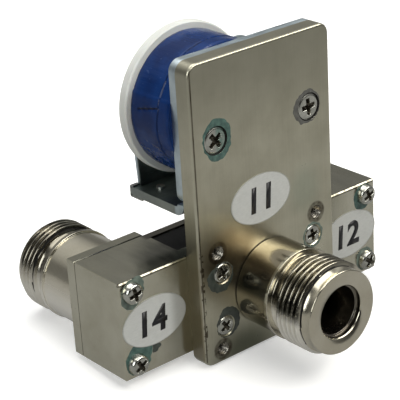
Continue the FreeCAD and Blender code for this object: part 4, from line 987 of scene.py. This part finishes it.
def make_tape():
    """A tube of film: its outside is wrinkled, its inside steps over the bobbin's flange."""
    low, high = box_mm("coil_tape")
    centre_x, centre_z = (low.x + high.x) / 2, (low.z + high.z) / 2
    inside = box_mm("coil_winding")
    inner = (inside[1].x - inside[0].x) / 2 + 0.05
    flange_back = low.y
    flange_front = box_mm("bobbin")[0].y
    low.y = flange_front - 0.04
    points = []
    for row in range(TAPE_ROWS + 1):
        y = lerp(low.y, high.y, row / TAPE_ROWS)
        for angle in angles_round(TAPE_AROUND):
            out = tape_radius(angle, y, low.y, high.y)
            points.append((centre_x + out * math.cos(angle), y, centre_z + out * math.sin(angle)))
    section = ((inner, high.y), (inner, flange_back), (TAPE_FRONT_INNER, flange_back),
               (TAPE_FRONT_INNER, flange_front - 0.01), (TAPE_LIP, flange_front - 0.01),
               (TAPE_LIP, low.y))
    for out, y in section:
        points += on_circle(centre_x, y, centre_z, out, TAPE_AROUND)
    rows = TAPE_ROWS + 1 + len(section)
    make_piece("coil_tape_wrapped", points, ring_faces(rows, TAPE_AROUND, closed=True),
               [finishes["blue_tape"]], stands_for=("coil_tape",),
               sharp_degrees=50.0)


make_tape()


# Plain numbers on the oval labels, in millimetres save the strokes' offset in letter sizes

NUMBER_HEIGHT = 4.6
NUMBER_SLANT = 0.07
STROKE_OFFSET = 0.034
INK_THICKNESS = 0.012
INK_LIFT = 0.004


def make_number(name, text, node):
    """The number as a thin solid, centred on its label by its own outline."""
    low, high = box_mm(node)
    letters = bpy.data.curves.new(name, "FONT")
    letters.body = text
    letters.size = 1.0
    letters.align_x = "CENTER"
    letters.align_y = "CENTER"
    letters.offset = STROKE_OFFSET
    letters.extrude = 0.0
    letters.space_character = 1.05
    writing = add_object(name + "_curve", letters)
    bpy.context.view_layer.update()
    shape = bpy.data.meshes.new_from_object(writing.evaluated_get(
        bpy.context.evaluated_depsgraph_get()))
    bpy.data.objects.remove(writing)
    tops = [v.co.y for v in shape.vertices]
    sides = [v.co.x for v in shape.vertices]
    middle = Vector(((min(sides) + max(sides)) / 2, (min(tops) + max(tops)) / 2, 0))
    size = NUMBER_HEIGHT / (max(tops) - min(tops))
    centre = Vector(((low.x + high.x) / 2, 0, (low.z + high.z) / 2))
    work = bmesh.new()
    work.from_mesh(shape)
    for vertex in work.verts:
        flat = (vertex.co - middle) * size
        vertex.co = Vector((centre.x + flat.x + NUMBER_SLANT * flat.y, low.y - INK_LIFT,
                            centre.z + flat.y)) * MM
    made = bmesh.ops.extrude_face_region(work, geom=list(work.faces))
    for part in made["geom"]:
        if isinstance(part, bmesh.types.BMVert):
            part.co.y -= INK_THICKNESS * MM
    bmesh.ops.recalc_face_normals(work, faces=work.faces)
    mesh = bpy.data.meshes.new(name)
    work.to_mesh(mesh)
    work.free()
    mesh.materials.append(finishes["ink"])
    show(name, mesh)


for port, text in (("com", "11"), ("no", "14"), ("nc", "12")):
    make_number(port + "_number", text, port + "_label")


# Return spring, as a fixed coil; the real one shortens as its pusher rises

SPRING_TURNS = 4
SPRING_WIRE = 0.18
SPRING_AROUND = 12
SPRING_STEPS = 60


def make_spring():
    """A round wire in open turns, with a flat part of a turn at each end."""
    low, high = box_mm("return_spring")
    centre_x, centre_y = (low.x + high.x) / 2, (low.y + high.y) / 2
    radius = (high.x - low.x) / 2 - SPRING_WIRE
    path = []
    bottom, top = low.z + SPRING_WIRE, high.z - SPRING_WIRE
    for step in range(SPRING_TURNS * SPRING_STEPS + 1):
        share = step / (SPRING_TURNS * SPRING_STEPS)
        angle = share * SPRING_TURNS * FULL_TURN
        height = lerp(bottom, top, smooth_step(-0.25, 1.25, share) * 1.454 - 0.227)
        path.append(Vector((centre_x + radius * math.cos(angle),
                            centre_y + radius * math.sin(angle),
                            min(max(height, bottom), top))))
    points = []
    for place, spot in enumerate(path):
        ahead = path[min(place + 1, len(path) - 1)] - path[max(place - 1, 0)]
        ahead.normalize()
        out = Vector((spot.x - centre_x, spot.y - centre_y, 0)).normalized()
        side = ahead.cross(out)
        for angle in angles_round(SPRING_AROUND):
            points.append(tuple(spot + out * SPRING_WIRE * math.cos(angle)
                                + side * SPRING_WIRE * math.sin(angle)))
    faces = ring_faces(len(path), SPRING_AROUND)
    faces.append(tuple(range(SPRING_AROUND)))
    last = (len(path) - 1) * SPRING_AROUND
    faces.append(tuple(reversed(range(last, last + SPRING_AROUND))))
    spring = make_piece("return_spring_coiled", points, faces, [finishes["spring_steel"]],
                        stands_for=("return_spring",), sharp_degrees=60.0)
    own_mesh(spring)


make_spring()


# Floor, light and camera

FLOOR_REACH = 3000.0
FLOOR_CLEARANCE = 0.02
THREAD_END = 0.9


def make_floor():
    """A pale table that passes under the plate's rear edge and the rear jacks' threads.

    The camera sees it nearly white; in reflections it is a dim grey."""
    plate_low, plate_high = box_mm("front_plate")
    jack_low, jack_high = box_mm("no_shell")
    rear = jack_high.y - THREAD_END
    slope = (jack_low.z - plate_low.z) / (rear - plate_high.y)
    points = []
    for right, back in ((-1, -1), (1, -1), (1, 1), (-1, 1)):
        y = back * FLOOR_REACH
        points.append((right * FLOOR_REACH, y,
                       plate_low.z - FLOOR_CLEARANCE + slope * (y - plate_high.y)))
    mesh = bpy.data.meshes.new("floor")
    mesh.from_pydata([Vector(point) * MM for point in points], [], [(0, 1, 2, 3)])
    paint = Finish("floor_paint")
    rays = paint.node("ShaderNodeLightPath")
    pale = paint.ramp(paint.spots(60.0), (0.3, (0.84, 0.84, 0.835)), (0.7, (0.86, 0.86, 0.855)))
    paint.colour(paint.mix(rays.outputs["Is Camera Ray"], (0.14, 0.14, 0.137), pale))
    paint.shader.inputs["Roughness"].default_value = 0.9
    paint.shader.inputs["Specular IOR Level"].default_value = 0.1
    paint.shader.inputs["Emission Color"].default_value = (1.0, 1.0, 0.995, 1)
    glow = paint.math("ADD", paint.times(rays.outputs["Is Camera Ray"], 0.17), 0.18)
    paint.link(glow, paint.shader.inputs["Emission Strength"])
    mesh.materials.append(paint.material)
    add_object("floor", mesh)


# Room brightness against the direction's height, with ROOM_HEIGHTS as 0 and 1
ROOM_STOPS = ((0.0, 0.30), (0.16, 0.10), (0.26, 0.20), (0.48, 0.16), (0.58, 0.35), (0.72, 0.6),
              (0.85, 0.3), (1.0, 0.5))
ROOM_HEIGHTS = (-0.2, 1.0)
ROOM_BLUE = 0.98

# The level direction in which the room is dark, and how far it dims from where to where
ROOM_DARK_SIDE = (-0.64, -0.77)
ROOM_DIMMING = (-0.2, 0.6, 1.0, 0.12)


def make_world():
    """A dim room, darker low down on the camera's side; the camera itself sees plain white."""
    world = bpy.data.worlds.new("room")
    world.use_nodes = True
    bpy.context.scene.world = world
    graph = Graph(world.node_tree)
    graph.tree.nodes.clear()
    split = graph.node("ShaderNodeSeparateXYZ")
    graph.link(graph.node("ShaderNodeTexCoord").outputs["Generated"], split.inputs[0])
    height = graph.spread(split.outputs["Z"], *ROOM_HEIGHTS, curve="LINEAR")
    stops = [(spot, (value, value, value * ROOM_BLUE)) for spot, value in ROOM_STOPS]
    towards = graph.math("ADD", graph.times(split.outputs["X"], ROOM_DARK_SIDE[0]),
                         graph.times(split.outputs["Y"], ROOM_DARK_SIDE[1]))
    room = graph.node("ShaderNodeBackground")
    graph.link(graph.ramp(height, *stops), room.inputs["Color"])
    graph.link(graph.spread(towards, *ROOM_DIMMING, curve="LINEAR"), room.inputs["Strength"])
    plain = graph.node("ShaderNodeBackground")
    plain.inputs["Color"].default_value = (1, 1, 1, 1)
    rays = graph.node("ShaderNodeLightPath")
    mix = graph.node("ShaderNodeMixShader")
    graph.link(rays.outputs["Is Camera Ray"], mix.inputs[0])
    graph.link(room.outputs[0], mix.inputs[1])
    graph.link(plain.outputs[0], mix.inputs[2])
    output = graph.node("ShaderNodeOutputWorld")
    graph.link(mix.outputs[0], output.inputs["Surface"])


def make_light(name, place, target, size, power, colour=(1, 1, 1)):
    """A soft rectangle of light at place, facing target; all in millimetres and watts."""
    light = bpy.data.lights.new(name, "AREA")
    light.shape = "RECTANGLE"
    light.size, light.size_y = size[0] * MM, size[1] * MM
    light.energy = power
    light.color = colour
    lamp = add_object(name, light)
    lamp.location = Vector(place) * MM
    lamp.rotation_euler = (Vector(target) - Vector(place)).to_track_quat("-Z", "Y").to_euler()
    lamp.visible_camera = False


# The camera fitted to the photograph: degrees, then the origin's distance and its place across
# and along the view in millimetres, and the focal length in pixels
AZIMUTH, ELEVATION, ROLL = -38.643, 23.758, -3.621
DISTANCE, ACROSS, ALONG = 253.726, 11.778, -13.357
FOCAL_PIXELS = 1509.606
PICTURE_PIXELS = 400
SENSOR = 36.0


def make_camera():
    azimuth, elevation, roll = (math.radians(a) for a in (AZIMUTH, ELEVATION, ROLL))
    back = Vector((math.sin(azimuth) * math.cos(elevation),
                   -math.cos(azimuth) * math.cos(elevation), math.sin(elevation)))
    level = Vector((math.cos(azimuth), math.sin(azimuth), 0))
    above = back.cross(level)
    right = level * math.cos(roll) + above * math.sin(roll)
    up = above * math.cos(roll) - level * math.sin(roll)
    camera = bpy.data.cameras.new("camera")
    camera.sensor_width = SENSOR
    camera.lens = SENSOR * FOCAL_PIXELS / PICTURE_PIXELS
    camera.clip_start = 0.01
    camera.clip_end = 20.0
    holder = add_object("camera", camera)
    place = (back * DISTANCE - right * ACROSS - up * ALONG) * MM
    holder.matrix_world = Matrix((
        (right.x, up.x, back.x, place.x), (right.y, up.y, back.y, place.y),
        (right.z, up.z, back.z, place.z), (0, 0, 0, 1)))
    bpy.context.scene.camera = holder


make_floor()
make_world()
make_light("over", (0, 60, 500), (0, 0, 0), (500, 500), 1.6, (1.0, 0.99, 0.97))
make_light("front", (156, -271, 324), (0, 0, 15), (520, 120), 1.5, (1.0, 0.98, 0.94))
make_light("behind", (44, 207, 397), (0, 0, 10), (230, 130), 0.25)
make_light("left", (-383, -139, 190), (0, 0, 10), (250, 250), 0.75, (0.97, 0.99, 1.0))
make_camera()

scene = bpy.context.scene
scene.view_settings.view_transform = "Standard"
scene.view_settings.look = "None"
